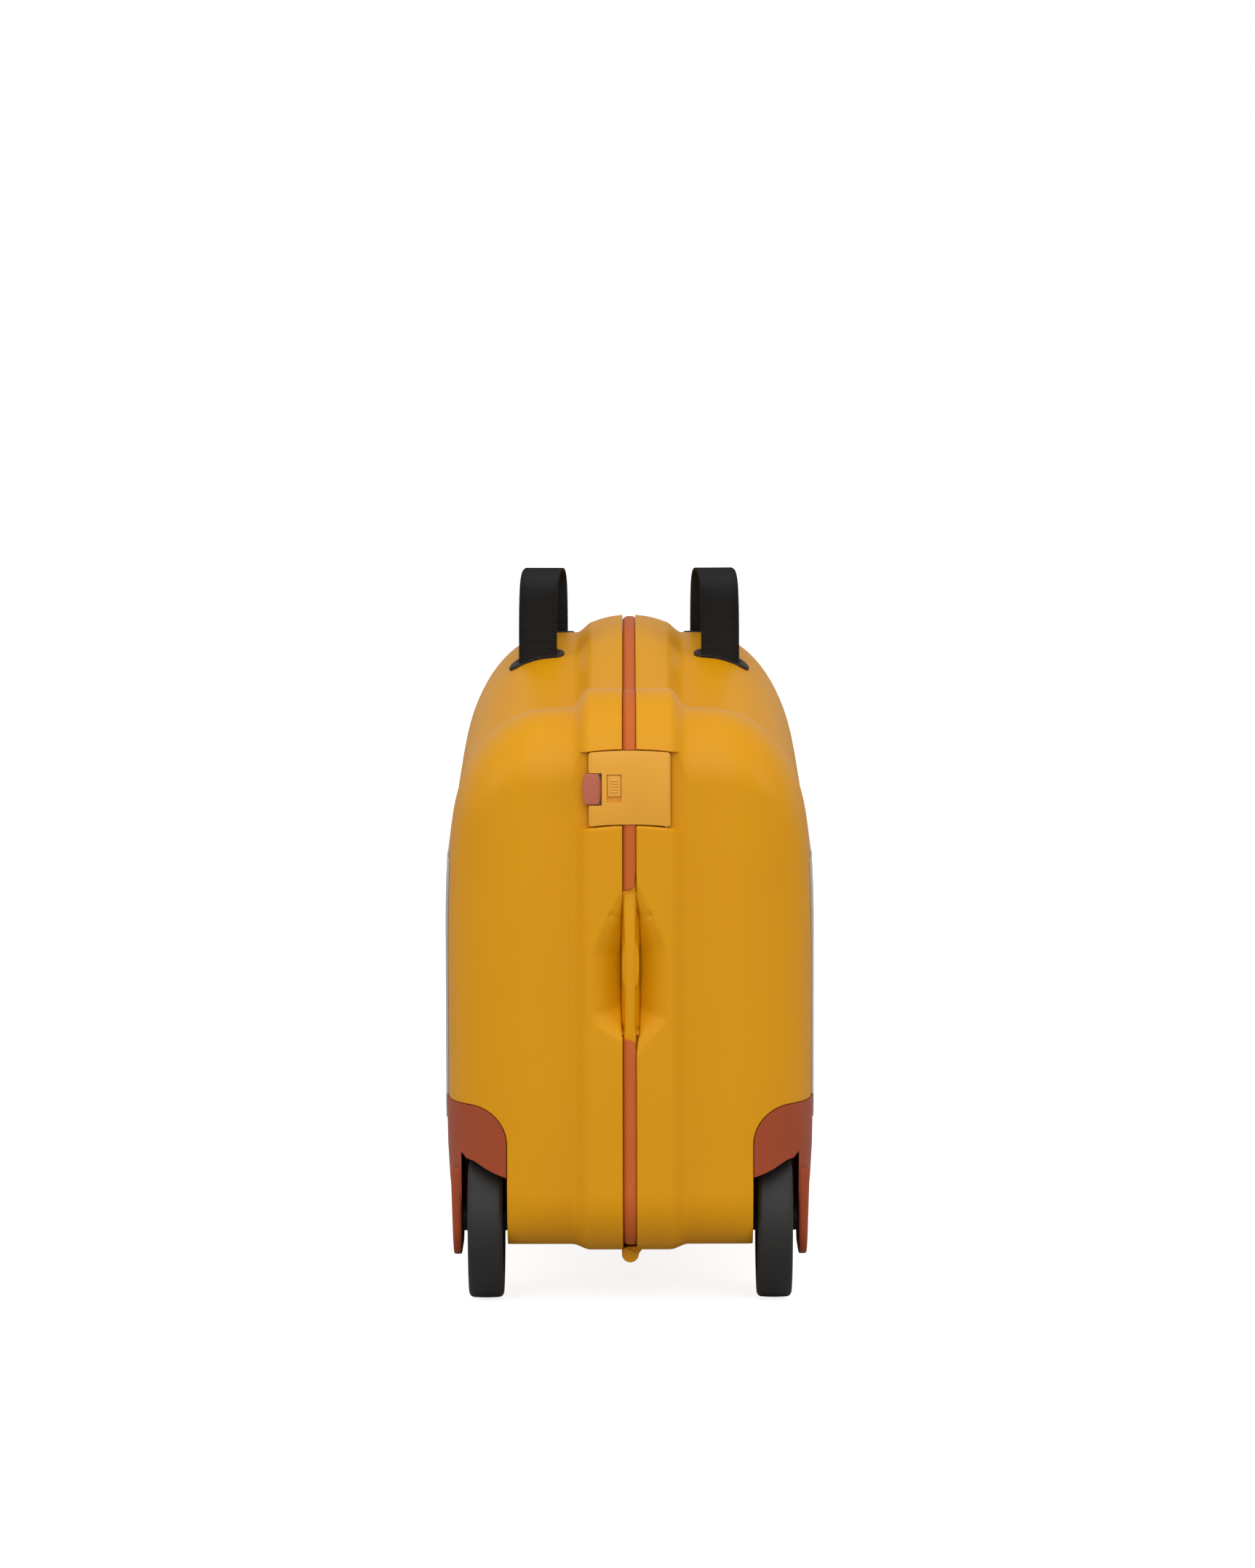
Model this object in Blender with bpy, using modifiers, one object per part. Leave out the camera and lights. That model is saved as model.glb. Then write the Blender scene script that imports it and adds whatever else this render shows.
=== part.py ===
"""Ride-on suitcase for a child.

Two moulded half shells are hinged under the case and latched at both ends. One end rolls on
two big fixed wheels, the other on two swivel casters, and two webbing loops are the grips.
Metres, +Z up, +Y towards the grips, origin on the floor under the middle of the case.
"""

import math

import bmesh
import bpy
from mathutils import Matrix, Vector
from mathutils.bvhtree import BVHTree

# Case outline, seen from the side
CASE_LENGTH = 0.510
UNDERSIDE_Z = 0.0343
NEAR_CREST_Z = 0.3407
SADDLE_Z = 0.314
SADDLE_SETBACK = 0.200
FRONT_CREST_Z = 0.3597
CREST_SETBACK = 0.105
NEAR_TOP_RADIUS = 0.040
FAR_TOP_DROP = 0.095
BASE_RADIUS = 0.033

# Case section, seen from the end
PANEL_SPAN = 0.220
WALL = 0.0028
SHOULDER_REACH = 0.062
END_REACH = 0.050
BASE_REACH = 0.032
CHEEK_REACH = 0.006
TOP_BULGE = 0.008
SIDE_BULGE = 0.006
SHOULDER_POWER = 2.5
END_POWER = 2.1
BASE_POWER = 2.0
SHOULDER_SHARE = 0.78
END_SHARE = 0.65
BASE_SHARE = 0.52
FLAT_INSET = 0.115
FLAT_LOW = 0.130
FLAT_HIGH = 0.170
FLAT_RADIUS = 0.030

# Raised band along the seam
RIDGE_TOP = 0.011
RIDGE_END = 0.008
RIDGE_LOW = 0.003
RIDGE_CROWN = 0.0224
RIDGE_FOOT = 0.0335
STRIP_WIDTH = 0.0070
STRIP_DEPTH = 0.0060
STRIP_SINK = 0.0008
SEAM_GAP = 0.0006
GAP = 0.0003
ROUND_PROFILE = 0.5

# Hinge under the seam
HINGE_Z = 0.029
KNUCKLE_RADIUS = 0.00485
HINGE_PIN_RADIUS = 0.0016
KNUCKLE_LENGTH = 0.0140
MIDDLE_KNUCKLE_LENGTH = 0.0200
KNUCKLE_GAP = 0.0005
HINGE_SETBACK = 0.060
HINGE_WEB = 0.0030

# Fin handle and its finger recess
RECESS_LOW = 0.153
RECESS_HIGH = 0.247
RECESS_HALF = 0.022
RECESS_FULL_LOW = 0.168
RECESS_FULL_HIGH = 0.208
RECESS_DEPTH = 0.019
RECESS_FLOOR_SCALE = 0.28
RECESS_FLOOR_TALL = 0.6
GRIP_DEPTH = 0.0080
GRIP_THICKNESS = 0.0073
GRIP_ROOT = 0.0005

# Side panels
PANEL_THICKNESS = 0.0009
PANEL_TOP_SHARE = 0.45
PANEL_END_SHARE = 0.80
PANEL_BASE_SHARE = 0.95

# Fixed wheels
WHEEL_RADIUS = 0.046
WHEEL_WIDTH = 0.0200
WHEEL_INSET = 0.0275
WHEEL_SETBACK = 0.062
TYRE_THICKNESS = 0.0120
TYRE_EDGE = 0.0030
RIM_THICKNESS = 0.0030
HUB_WEB = 0.0040
HUB_BOSS_RADIUS = 0.0075
HUB_BOSS_PROUD = 0.0008
AXLE_RADIUS = 0.0030
AXLE_HEAD_RADIUS = 0.0055
AXLE_HEAD_HEIGHT = 0.0020
AXLE_BITE = 0.0046
WELL_SIDE_GAP = 0.0027
WELL_ROUND_GAP = 0.0045
BRACKET_TOP_Z = 0.1165
BRACKET_BACK = 0.0035
BRACKET_CORNER = 0.021
BRACKET_PROUD = 0.0006
BRACKET_FIT = 0.0004
HOOD_LOW_Z = 0.0790
CHEEK_GAP = 0.0037
SKIRT_LOW_Z = 0.0265
SKIRT_TOP_Z = 0.0600
SKIRT_LENGTH = 0.0630
SKIRT_SHIFT = 0.0115
SKIRT_CORNER = 0.0150
SKIRT_THICKNESS = 0.0062
SKIRT_SINK = 0.0002

# Swivel casters
CASTER_INSET = 0.043
CASTER_SETBACK = 0.070
CASTER_RADIUS = 0.020
CASTER_WIDTH = 0.0140
CASTER_TRAIL = 0.010
CASTER_TYRE = 0.0070
CASTER_AXLE_RADIUS = 0.0020
FORK_SIDE_GAP = 0.0020
FORK_ARM = 0.0025
FORK_TOP_GAP = 0.0025
FORK_PLATE = 0.0030
FORK_PLATE_RADIUS = 0.0140
FORK_END_RADIUS = 0.0055
STEM_RADIUS = 0.0030
STEM_HEAD_RADIUS = 0.0055
STEM_HEAD_HEIGHT = 0.0018
CUP_RADIUS = 0.0350
CUP_WALL = 0.0020
CUP_SKIRT = 0.0120
CUP_BOSS_RADIUS = 0.0080
CUP_CLEARANCE = 0.0145

# Screws
SCREW_RADIUS = 0.0016
SCREW_HEAD_RADIUS = 0.0034
SCREW_HEAD_HEIGHT = 0.0020
BRACKET_SCREW_LENGTH = 0.0130
BRACKET_SCREW_SHIFT = 0.013
CUP_SCREW_LENGTH = 0.0090
CUP_SCREW_CIRCLE = 0.0240

# Latches
LATCH_HEIGHTS = {"near": 0.2975, "far": 0.2380}
LATCH_HEIGHT = 0.0430
LATCH_HALF = 0.0232
PLATE_THICKNESS = 0.0056
PLATE_SINK = 0.0002
PLATE_CHAMFER = 0.0014
NOTCH_MARGIN = 0.0016
NOTCH_FLOOR = 0.0005
NOTCH_RISE = 0.0014
NOTCH_DROP = 0.0004
POCKET_DEPTH = 0.0057
POCKET_SIDE = 0.0006
LATCH_PIN_RADIUS = 0.0010
LATCH_PIN_BITE = 0.0024
BUTTON_LEFT = -0.0264
BUTTON_RIGHT = -0.0158
BUTTON_HEIGHT = 0.0173
BUTTON_THICKNESS = 0.0050
BUTTON_BARREL = 0.0014
BUTTON_SINK = 0.0001
BUTTON_STEM_RADIUS = 0.0018
BUTTON_STEM_LENGTH = 0.0044
BUTTON_SLACK = 0.0009
SLIDER_X = -0.00855
SLIDER_WIDTH = 0.0079
SLIDER_HEIGHT = 0.0123
SLIDER_RISE = 0.0017
SLIDER_TRAVEL = 0.0027
SLIDER_DEPTH = 0.0019
LATCH_BASE_THICKNESS = 0.0029
LATCH_BASE_MARGIN = 0.0010
KEEPER_WIDTH = 0.0030
SPRING_WIRE = 0.00025
SPRING_RADIUS = 0.0026
SPRING_TURNS = 2

# Webbing grips
WEBBING_WIDTH = 0.0240
WEBBING_THICKNESS = 0.0022
LOOP_FRONT_SETBACK = 0.170
LOOP_REAR_SETBACK = 0.090
LOOP_FRONT_OFFSET = 0.0225
LOOP_REAR_OFFSET = 0.0165
LOOP_RISE = 0.0418
LOOP_POWER = 3.0
BEZEL_WIDTH = 0.0335
BEZEL_DEPTH = 0.0110
BEZEL_PROUD = 0.0030
SLOT_CLEARANCE = 0.0005
BAR_RADIUS = 0.0022
BAR_OVERHANG = 0.0035

# Packing belt across the left half
BELT_WIDTH = 0.0250
BELT_THICKNESS = 0.0015
BELT_X = -0.0150
BELT_Y = -0.020
BUCKLE_Z = 0.180
BUCKLE_LENGTH = 0.0440
BUCKLE_WIDTH = 0.0320
BUCKLE_THICKNESS = 0.0080
BELT_TUCK = 0.0080

# Sizes that follow from the ones above
HALF_LENGTH = CASE_LENGTH / 2
END_Y = HALF_LENGTH - RIDGE_END
SADDLE_Y = SADDLE_SETBACK - HALF_LENGTH
FRONT_CREST_Y = HALF_LENGTH - CREST_SETBACK
FLAT_END = HALF_LENGTH - FLAT_INSET
HINGE_SPREAD = HALF_LENGTH - HINGE_SETBACK
WHEEL_X = PANEL_SPAN / 2 - WHEEL_INSET
WHEEL_Y = WHEEL_SETBACK - HALF_LENGTH
CASTER_X = PANEL_SPAN / 2 - CASTER_INSET
CASTER_Y = HALF_LENGTH - CASTER_SETBACK
BRACKET_SCREW_Y = WHEEL_Y + BRACKET_SCREW_SHIFT
LOOP_FRONT_Y = HALF_LENGTH - LOOP_FRONT_SETBACK
LOOP_REAR_Y = HALF_LENGTH - LOOP_REAR_SETBACK
LOOP_FRONT_X = RIDGE_FOOT + LOOP_FRONT_OFFSET
LOOP_REAR_X = RIDGE_FOOT + LOOP_REAR_OFFSET
LOOP_TOP_Z = FRONT_CREST_Z + LOOP_RISE
NOTCH_HALF = RIDGE_FOOT + NOTCH_MARGIN
HALF_WIDTH = PANEL_SPAN / 2 - PANEL_THICKNESS - GAP
STRIP_HALF = STRIP_WIDTH / 2
RIGHT_EDGE = STRIP_HALF + GAP
LEFT_EDGE = STRIP_HALF + SEAM_GAP
BEYOND = 0.020
ROUND_STEPS = 5
FLANK_STEPS = 2
SIDES = (("left", -1), ("right", 1))
ENDS = (("near", -1), ("far", 1))

# Colours as sRGB hex, one for each moulding or metal
COLOURS = {
    "shell": ("DE9A0C", 0.42, 0.0),
    "strip": ("C8642F", 0.55, 0.0),
    "bracket": ("A94F2C", 0.50, 0.0),
    "latch": ("EAA845", 0.40, 0.0),
    "button": ("C4694F", 0.50, 0.0),
    "rubber": ("242424", 0.75, 0.0),
    "hub": ("2F2F31", 0.45, 0.0),
    "webbing": ("1B1B1C", 0.90, 0.0),
    "bezel": ("222224", 0.40, 0.0),
    "panel": ("BCC3C5", 0.45, 0.0),
    "steel": ("B9BBBE", 0.30, 1.0),
    "inner": ("4A4A4C", 0.50, 0.0),
}

pivots = {}


def clear_scene():
    """Remove what the scene starts with and make the two collections."""
    for item in list(bpy.data.objects):
        bpy.data.objects.remove(item)
    model = bpy.data.collections.new("ride_on_suitcase")
    cutters = bpy.data.collections.new("cutters")
    bpy.context.scene.collection.children.link(model)
    bpy.context.scene.collection.children.link(cutters)
    return model, cutters


MODEL, CUTTERS = clear_scene()


def linear(channel):
    """One sRGB channel as linear light."""
    if channel <= 0.04045:
        return channel / 12.92
    return ((channel + 0.055) / 1.055) ** 2.4


def paint(item, key):
    """Give an object its own Principled material in one of the named colours."""
    code, roughness, metallic = COLOURS[key]
    red, green, blue = (int(code[i:i + 2], 16) / 255 for i in (0, 2, 4))
    material = bpy.data.materials.new(item.name + "_" + key)
    material.use_nodes = True
    shader = material.node_tree.nodes["Principled BSDF"]
    shader.inputs["Base Color"].default_value = (linear(red), linear(green), linear(blue), 1)
    shader.inputs["Roughness"].default_value = roughness
    shader.inputs["Metallic"].default_value = metallic
    item.data.materials.clear()
    item.data.materials.append(material)


def pivot(name, place, parent=None):
    """An empty on a joint's axis that carries what moves about it."""
    empty = bpy.data.objects.new(name, None)
    empty.location = place
    MODEL.objects.link(empty)
    pivots[name] = (empty, Vector(place))
    if parent:
        hang(empty, parent)
    return empty


def hang(item, name):
    """Parent an object to a pivot and leave it where it is."""
    empty, place = pivots[name]
    item.parent = empty
    item.matrix_parent_inverse = Matrix.Translation(place).inverted()


def add_object(name, mesh, colour=None, carrier=None):
    """Put a mesh in the scene: a painted part, or a cutter where no colour is given."""
    item = bpy.data.objects.new(name, mesh)
    if colour:
        MODEL.objects.link(item)
        paint(item, colour)
    else:
        CUTTERS.objects.link(item)
        item.hide_render = True
        item.display_type = "WIRE"
    if carrier:
        hang(item, carrier)
    return item


def finish_mesh(name, bm, smooth=None):
    """Turn a bmesh into a closed mesh whose faces point out."""
    bmesh.ops.recalc_face_normals(bm, faces=bm.faces)
    mesh = bpy.data.meshes.new(name)
    bm.to_mesh(mesh)
    bm.free()
    if smooth:
        mesh.shade_smooth()
        mesh.set_sharp_from_angle(angle=math.radians(smooth))
    return mesh


def box(bm, low, high):
    """A box between two corners."""
    low, high = Vector(low), Vector(high)
    middle = Matrix.Translation((low + high) / 2)
    bmesh.ops.create_cube(bm, size=1, matrix=middle @ Matrix.Diagonal((*(high - low), 1)))


def rod(bm, start, end, radius, sides=16):
    """A cylinder between two points."""
    start, end = Vector(start), Vector(end)
    turn = (end - start).to_track_quat("Z", "Y").to_matrix().to_4x4()
    bmesh.ops.create_cone(
        bm, cap_ends=True, segments=sides, radius1=radius, radius2=radius,
        depth=(end - start).length, matrix=Matrix.Translation((start + end) / 2) @ turn)


def turned(name, profile, steps, colour, carrier, place, along="Z"):
    """A turned piece: a profile of radius and height, swept round its axis."""
    mesh = bpy.data.meshes.new(name)
    count = len(profile)
    edges = [(i, i + 1) for i in range(count - 1)]
    if profile[0][0] > 0:
        edges.append((count - 1, 0))
    mesh.from_pydata([(r, 0, h) for r, h in profile], edges, [])
    item = add_object(name, mesh, colour, carrier)
    item.location = place
    if along == "X":
        item.rotation_euler = (0, math.pi / 2, 0)
    screw = item.modifiers.new("turn", "SCREW")
    screw.steps = steps
    screw.render_steps = steps
    screw.use_merge_vertices = True
    screw.merge_threshold = 0.00001
    return item


def outline_mesh(name, points, thickness, plane):
    """A flat outline given a thickness, in the plane XY, YZ or XZ through the origin."""
    curve = bpy.data.curves.new(name, "CURVE")
    curve.dimensions = "2D"
    curve.fill_mode = "BOTH"
    curve.extrude = thickness / 2
    spline = curve.splines.new("POLY")
    spline.points.add(len(points) - 1)
    for point, (a, b) in zip(spline.points, points):
        point.co = (a, b, 0, 1)
    spline.use_cyclic_u = True
    drawn = bpy.data.objects.new(name, curve)
    CUTTERS.objects.link(drawn)
    graph = bpy.context.evaluated_depsgraph_get()
    mesh = bpy.data.meshes.new_from_object(drawn.evaluated_get(graph))
    bpy.data.objects.remove(drawn)
    bpy.data.curves.remove(curve)
    turns = {"XY": Matrix.Identity(4),
             "YZ": Matrix(((0, 0, 1, 0), (1, 0, 0, 0), (0, 1, 0, 0), (0, 0, 0, 1))),
             "XZ": Matrix.Rotation(math.pi / 2, 4, "X")}
    bm = bmesh.new()
    bm.from_mesh(mesh)
    bmesh.ops.remove_doubles(bm, verts=bm.verts, dist=0.000001)
    bmesh.ops.dissolve_limit(bm, angle_limit=0.001, verts=bm.verts, edges=bm.edges)
    bmesh.ops.transform(bm, matrix=turns[plane], verts=bm.verts)
    bpy.data.meshes.remove(mesh)
    return finish_mesh(name, bm)


def arc(centre, radii, start, stop, steps):
    """Points along part of an ellipse, angles in degrees."""
    points = []
    for i in range(steps + 1):
        angle = math.radians(start + (stop - start) * i / steps)
        points.append((centre[0] + radii[0] * math.cos(angle),
                       centre[1] + radii[1] * math.sin(angle)))
    return points


def combine(item, other, operation="DIFFERENCE"):
    """Add a Boolean to an object."""
    step = item.modifiers.new(operation.lower(), "BOOLEAN")
    step.operation = operation
    step.object = other
    step.solver = "EXACT"
    return item


def cutter(name, *shapes):
    """One cutter made of shapes that don't touch, each a function that adds to a bmesh."""
    bm = bmesh.new()
    for shape in shapes:
        shape(bm)
    return add_object(name, finish_mesh(name, bm))


def wave(start, end, steps):
    """Points from one level to another along half a cosine, without the first."""
    points = []
    for i in range(1, steps + 1):
        share = i / steps
        lift = (1 - math.cos(math.pi * share)) / 2
        points.append((start[0] + (end[0] - start[0]) * share,
                       start[1] + (end[1] - start[1]) * lift))
    return points


def line(start, end, steps):
    """Points along a straight line, without its ends."""
    return [(start[0] + (end[0] - start[0]) * i / steps, start[1] + (end[1] - start[1]) * i / steps)
            for i in range(1, steps)]


def shoulder_outline():
    """The case seen from the side without its ridge, clockwise from the near end's top."""
    near = -END_Y + NEAR_TOP_RADIUS
    base = UNDERSIDE_Z + BASE_RADIUS
    far_arc_z = FRONT_CREST_Z - FAR_TOP_DROP
    points = arc((near, NEAR_CREST_Z - NEAR_TOP_RADIUS), (NEAR_TOP_RADIUS,) * 2, 180, 90, 6)
    points += wave((near, NEAR_CREST_Z), (SADDLE_Y, SADDLE_Z), 6)
    points += wave((SADDLE_Y, SADDLE_Z), (FRONT_CREST_Y, FRONT_CREST_Z), 7)
    points += arc((FRONT_CREST_Y, far_arc_z), (END_Y - FRONT_CREST_Y, FAR_TOP_DROP), 90, 0, 7)[1:]
    points += line((END_Y, far_arc_z), (END_Y, base), 4)
    points += arc((END_Y - BASE_RADIUS, base), (BASE_RADIUS,) * 2, 0, -90, 4)
    points += line((END_Y - BASE_RADIUS, UNDERSIDE_Z), (BASE_RADIUS - END_Y, UNDERSIDE_Z), 6)
    points += arc((BASE_RADIUS - END_Y, base), (BASE_RADIUS,) * 2, -90, -180, 4)
    points += line((-END_Y, base), (-END_Y, NEAR_CREST_Z - NEAR_TOP_RADIUS), 5)
    return [Vector(point) for point in points]


def stations():
    """Each point of the shoulder outline with its outward normal."""
    points = shoulder_outline()
    count = len(points)
    found = []
    for i, point in enumerate(points):
        run = (points[(i + 1) % count] - points[i - 1]).normalized()
        found.append((point, Vector((-run.y, run.x))))
    return found


def blend(normal, top, end, low):
    """A value that changes smoothly from the case's top to its ends and its underside."""
    up = max(normal.y, 0) ** 2
    down = max(-normal.y, 0) ** 2
    return top * up + end * normal.x ** 2 + low * down


def flat_target(point, normal):
    """Where the rounding of the side ends, round the flat middle of the side face."""
    core = Vector((max(-FLAT_END, min(FLAT_END, point.x)),
                   max(FLAT_LOW, min(FLAT_HIGH, point.y))))
    return core + normal * FLAT_RADIUS


def section(point, normal, grow, edge, base_reach):
    """The case's section at one station, from the seam out to the side, as x, y, z."""
    ridge = blend(normal, RIDGE_TOP, RIDGE_END, RIDGE_LOW)
    shift = grow * math.tan(math.pi / 8)
    marks = [(edge, ridge), (RIDGE_CROWN + shift, ridge)]
    for i in range(1, FLANK_STEPS + 1):
        share = i / FLANK_STEPS
        width = RIDGE_CROWN + (RIDGE_FOOT - RIDGE_CROWN) * share + shift
        marks.append((width, ridge * (1 + math.cos(math.pi * share)) / 2))
    rows = []
    for width, lift in marks:
        place = point + normal * (lift + grow)
        rows.append((width, place.x, place.y))
    power = blend(normal, SHOULDER_POWER, END_POWER, BASE_POWER)
    share = blend(normal, SHOULDER_SHARE, END_SHARE, BASE_SHARE)
    reach = blend(normal, SHOULDER_REACH, END_REACH, base_reach) + grow
    bulge = blend(normal, TOP_BULGE, SIDE_BULGE, SIDE_BULGE)
    start = point + normal * grow
    run = flat_target(point, normal) - start
    depths = []
    for i in range(ROUND_STEPS + 1):
        angle = math.pi / 2 * i / ROUND_STEPS
        depths.append((share * (1 - math.cos(angle) ** (2 / power)),
                       reach * (1 - math.sin(angle) ** (2 / power))))
    depths.append((1, 0))
    for depth, fall in depths:
        place = start + run * depth
        rows.append((HALF_WIDTH + grow - bulge * (1 - depth) ** 2 - fall, place.x, place.y))
    return rows


def case_mesh(name, side, grow, edge, base_reach=BASE_REACH):
    """One half of the case as a closed form, grown outwards or inwards by a wall."""
    bm = bmesh.new()
    columns = []
    for point, normal in stations():
        rows = section(point, normal, grow, edge, base_reach)
        columns.append([bm.verts.new((side * x, y, z)) for x, y, z in rows])
    for left, right in zip(columns, columns[1:] + columns[:1]):
        for i in range(len(left) - 1):
            bm.faces.new((left[i], left[i + 1], right[i + 1], right[i]))
    bm.faces.new([column[0] for column in columns])
    bm.faces.new([column[-1] for column in columns])
    return finish_mesh(name, bm, smooth=40)


def surface_under(mesh, x, y, from_below=False):
    """The point and normal of a form straight under, or over, a place."""
    bm = bmesh.new()
    bm.from_mesh(mesh)
    tree = BVHTree.FromBMesh(bm)
    bm.free()
    start = Vector((x, y, SADDLE_Z / 2 if from_below else 1))
    place, normal, _, _ = tree.ray_cast(start, Vector((0, 0, 1 if from_below else -1)))
    return place, normal


def ridge_offset_path(sink):
    """The seam's outline, set in from the ridge, but clear of the hinge underneath."""
    hinge_clear = HINGE_Z + KNUCKLE_RADIUS + GAP - UNDERSIDE_Z
    path = []
    for point, normal in stations():
        lift = blend(normal, RIDGE_TOP - STRIP_SINK, RIDGE_END - STRIP_SINK, -hinge_clear)
        path.append(tuple(point + normal * (lift - sink)))
    return path


def recess_mesh(name, grow):
    """The finger recess as rings of one outline that close in towards its floor."""
    middle = (RECESS_FULL_LOW + RECESS_FULL_HIGH) / 2
    half = RECESS_HALF + grow
    right = [(0, RECESS_HIGH + grow), (half * 0.62, (RECESS_HIGH + RECESS_FULL_HIGH) / 2 + grow),
             (half, RECESS_FULL_HIGH), (half, RECESS_FULL_LOW),
             (half * 0.55, (RECESS_LOW + RECESS_FULL_LOW) / 2 - grow), (0, RECESS_LOW - grow)]
    outline = right + [(-x, z) for x, z in reversed(right[1:-1])]
    bm = bmesh.new()
    rings = []
    for share in (-0.5, 0, 0.45, 0.8, 1):
        depth = share * (RECESS_DEPTH + grow)
        inward = max(share, 0) ** 1.2
        wide = 1 - (1 - RECESS_FLOOR_SCALE) * inward
        tall = 1 - (1 - RECESS_FLOOR_TALL) * inward
        ring = [bm.verts.new((x * wide, depth - HALF_LENGTH, middle + (z - middle) * tall))
                for x, z in outline]
        rings.append(ring)
    for outer, inner in zip(rings, rings[1:]):
        for i in range(len(outer)):
            bm.faces.new((outer[i - 1], outer[i], inner[i], inner[i - 1]))
    bm.faces.new(rings[0])
    bm.faces.new(rings[-1])
    bmesh.ops.triangulate(bm, faces=bm.faces)
    return finish_mesh(name, bm)


def latch_box(bm, end_name, end, half, depth, grow):
    """A box cut at a latch: half its width, and the depth it reaches from the case's end."""
    middle = LATCH_HEIGHTS[end_name]
    low, high = sorted((end * (depth - grow), end * (HALF_LENGTH + BEYOND)))
    box(bm, (-half - grow, low, middle - LATCH_HEIGHT / 2 - NOTCH_DROP - grow),
        (half + grow, high, middle + LATCH_HEIGHT / 2 + NOTCH_RISE + grow))


def latch_pockets(bm, grow):
    """The pockets under both latch plates."""
    depth = HALF_LENGTH - PLATE_SINK - PLATE_THICKNESS - POCKET_DEPTH
    for end_name, end in ENDS:
        latch_box(bm, end_name, end, LATCH_HALF + POCKET_SIDE, depth, grow)


def latch_notches(bm, grow):
    """The notches that both latches need in the ridge."""
    for end_name, end in ENDS:
        latch_box(bm, end_name, end, NOTCH_HALF, END_Y - NOTCH_FLOOR, grow)


def wheel_block(bm, side, grow):
    """The corner that the wheel bracket fills, rounded along its two upper edges."""
    inner = WHEEL_X - WHEEL_WIDTH / 2 - WELL_SIDE_GAP - grow
    back = WHEEL_Y + WHEEL_RADIUS + WELL_ROUND_GAP + BRACKET_BACK + grow
    low = Vector((inner, -HALF_LENGTH - BEYOND, -BEYOND))
    high = Vector((PANEL_SPAN / 2 + BEYOND, back, BRACKET_TOP_Z + grow))
    part = bmesh.new()
    box(part, low, high)
    rounded = []
    for edge in part.edges:
        a, b = (vertex.co for vertex in edge.verts)
        on_top = min(a.z, b.z) > high.z - GAP
        if on_top and max(a.x, b.x) < inner + GAP:
            rounded.append(edge)
        if on_top and min(a.y, b.y) > back - GAP:
            rounded.append(edge)
    bmesh.ops.bevel(part, geom=rounded, offset=BRACKET_CORNER + grow, segments=5, profile=ROUND_PROFILE,
                    affect="EDGES")
    bmesh.ops.transform(part, matrix=Matrix.Diagonal((side, 1, 1, 1)), verts=part.verts)
    if side < 0:
        bmesh.ops.reverse_faces(part, faces=part.faces)
    mesh = finish_mesh("wheel_block", part)
    bm.from_mesh(mesh)
    bpy.data.meshes.remove(mesh)


def caster_top():
    """Height of the underside of the caster well's ceiling."""
    fork_top = 2 * CASTER_RADIUS + FORK_TOP_GAP + FORK_PLATE
    return fork_top + CUP_CLEARANCE


def caster_well(bm, side, grow):
    """The round well that holds a caster's cup."""
    centre = (side * CASTER_X, CASTER_Y)
    rod(bm, (*centre, -BEYOND), (*centre, caster_top() + GAP + grow),
        CUP_RADIUS + BRACKET_FIT + grow, sides=28)


def add_hollow(side_name, side):
    """The space inside one half, less the walls round its wells, as a cutter."""
    hollow = add_object(side_name + "_hollow", case_mesh("hollow", side, -WALL, -BEYOND))
    combine(hollow, cutter(side_name + "_notch_walls", lambda bm: latch_notches(bm, WALL)))
    combine(hollow, cutter(side_name + "_pocket_walls", lambda bm: latch_pockets(bm, WALL)))
    wells = cutter(side_name + "_well_walls",
                   lambda bm: wheel_block(bm, side, WALL),
                   lambda bm: caster_well(bm, side, WALL))
    combine(hollow, wells)
    combine(hollow, add_object(side_name + "_recess_wall", recess_mesh("recess_wall", WALL)))
    return hollow


def knuckle_outline(side):
    """A knuckle's end view: a barrel round the pin with a web up to its own shell."""
    barrel = arc((0, 0), (KNUCKLE_RADIUS,) * 2, 180, 415, 12)
    web = LEFT_EDGE - GAP / 2
    top = UNDERSIDE_Z + WALL / 2 - HINGE_Z
    outer = web + HINGE_WEB
    points = barrel + [(-web, KNUCKLE_RADIUS - GAP), (-web, top), (-outer, top), (-outer, HINGE_WEB)]
    return [(-side * x, z) for x, z in points]


def knuckle_spans():
    """Where the knuckles lie along the hinge, for each side."""
    middle = MIDDLE_KNUCKLE_LENGTH / 2
    start = middle + KNUCKLE_GAP
    spans = {"left": [], "right": []}
    for centre in (-HINGE_SPREAD, 0, HINGE_SPREAD):
        spans["left"].append((centre - middle, centre + middle))
        for way in (-1, 1):
            near, far = centre + way * start, centre + way * (start + KNUCKLE_LENGTH)
            spans["right"].append((min(near, far), max(near, far)))
    return spans


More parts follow.
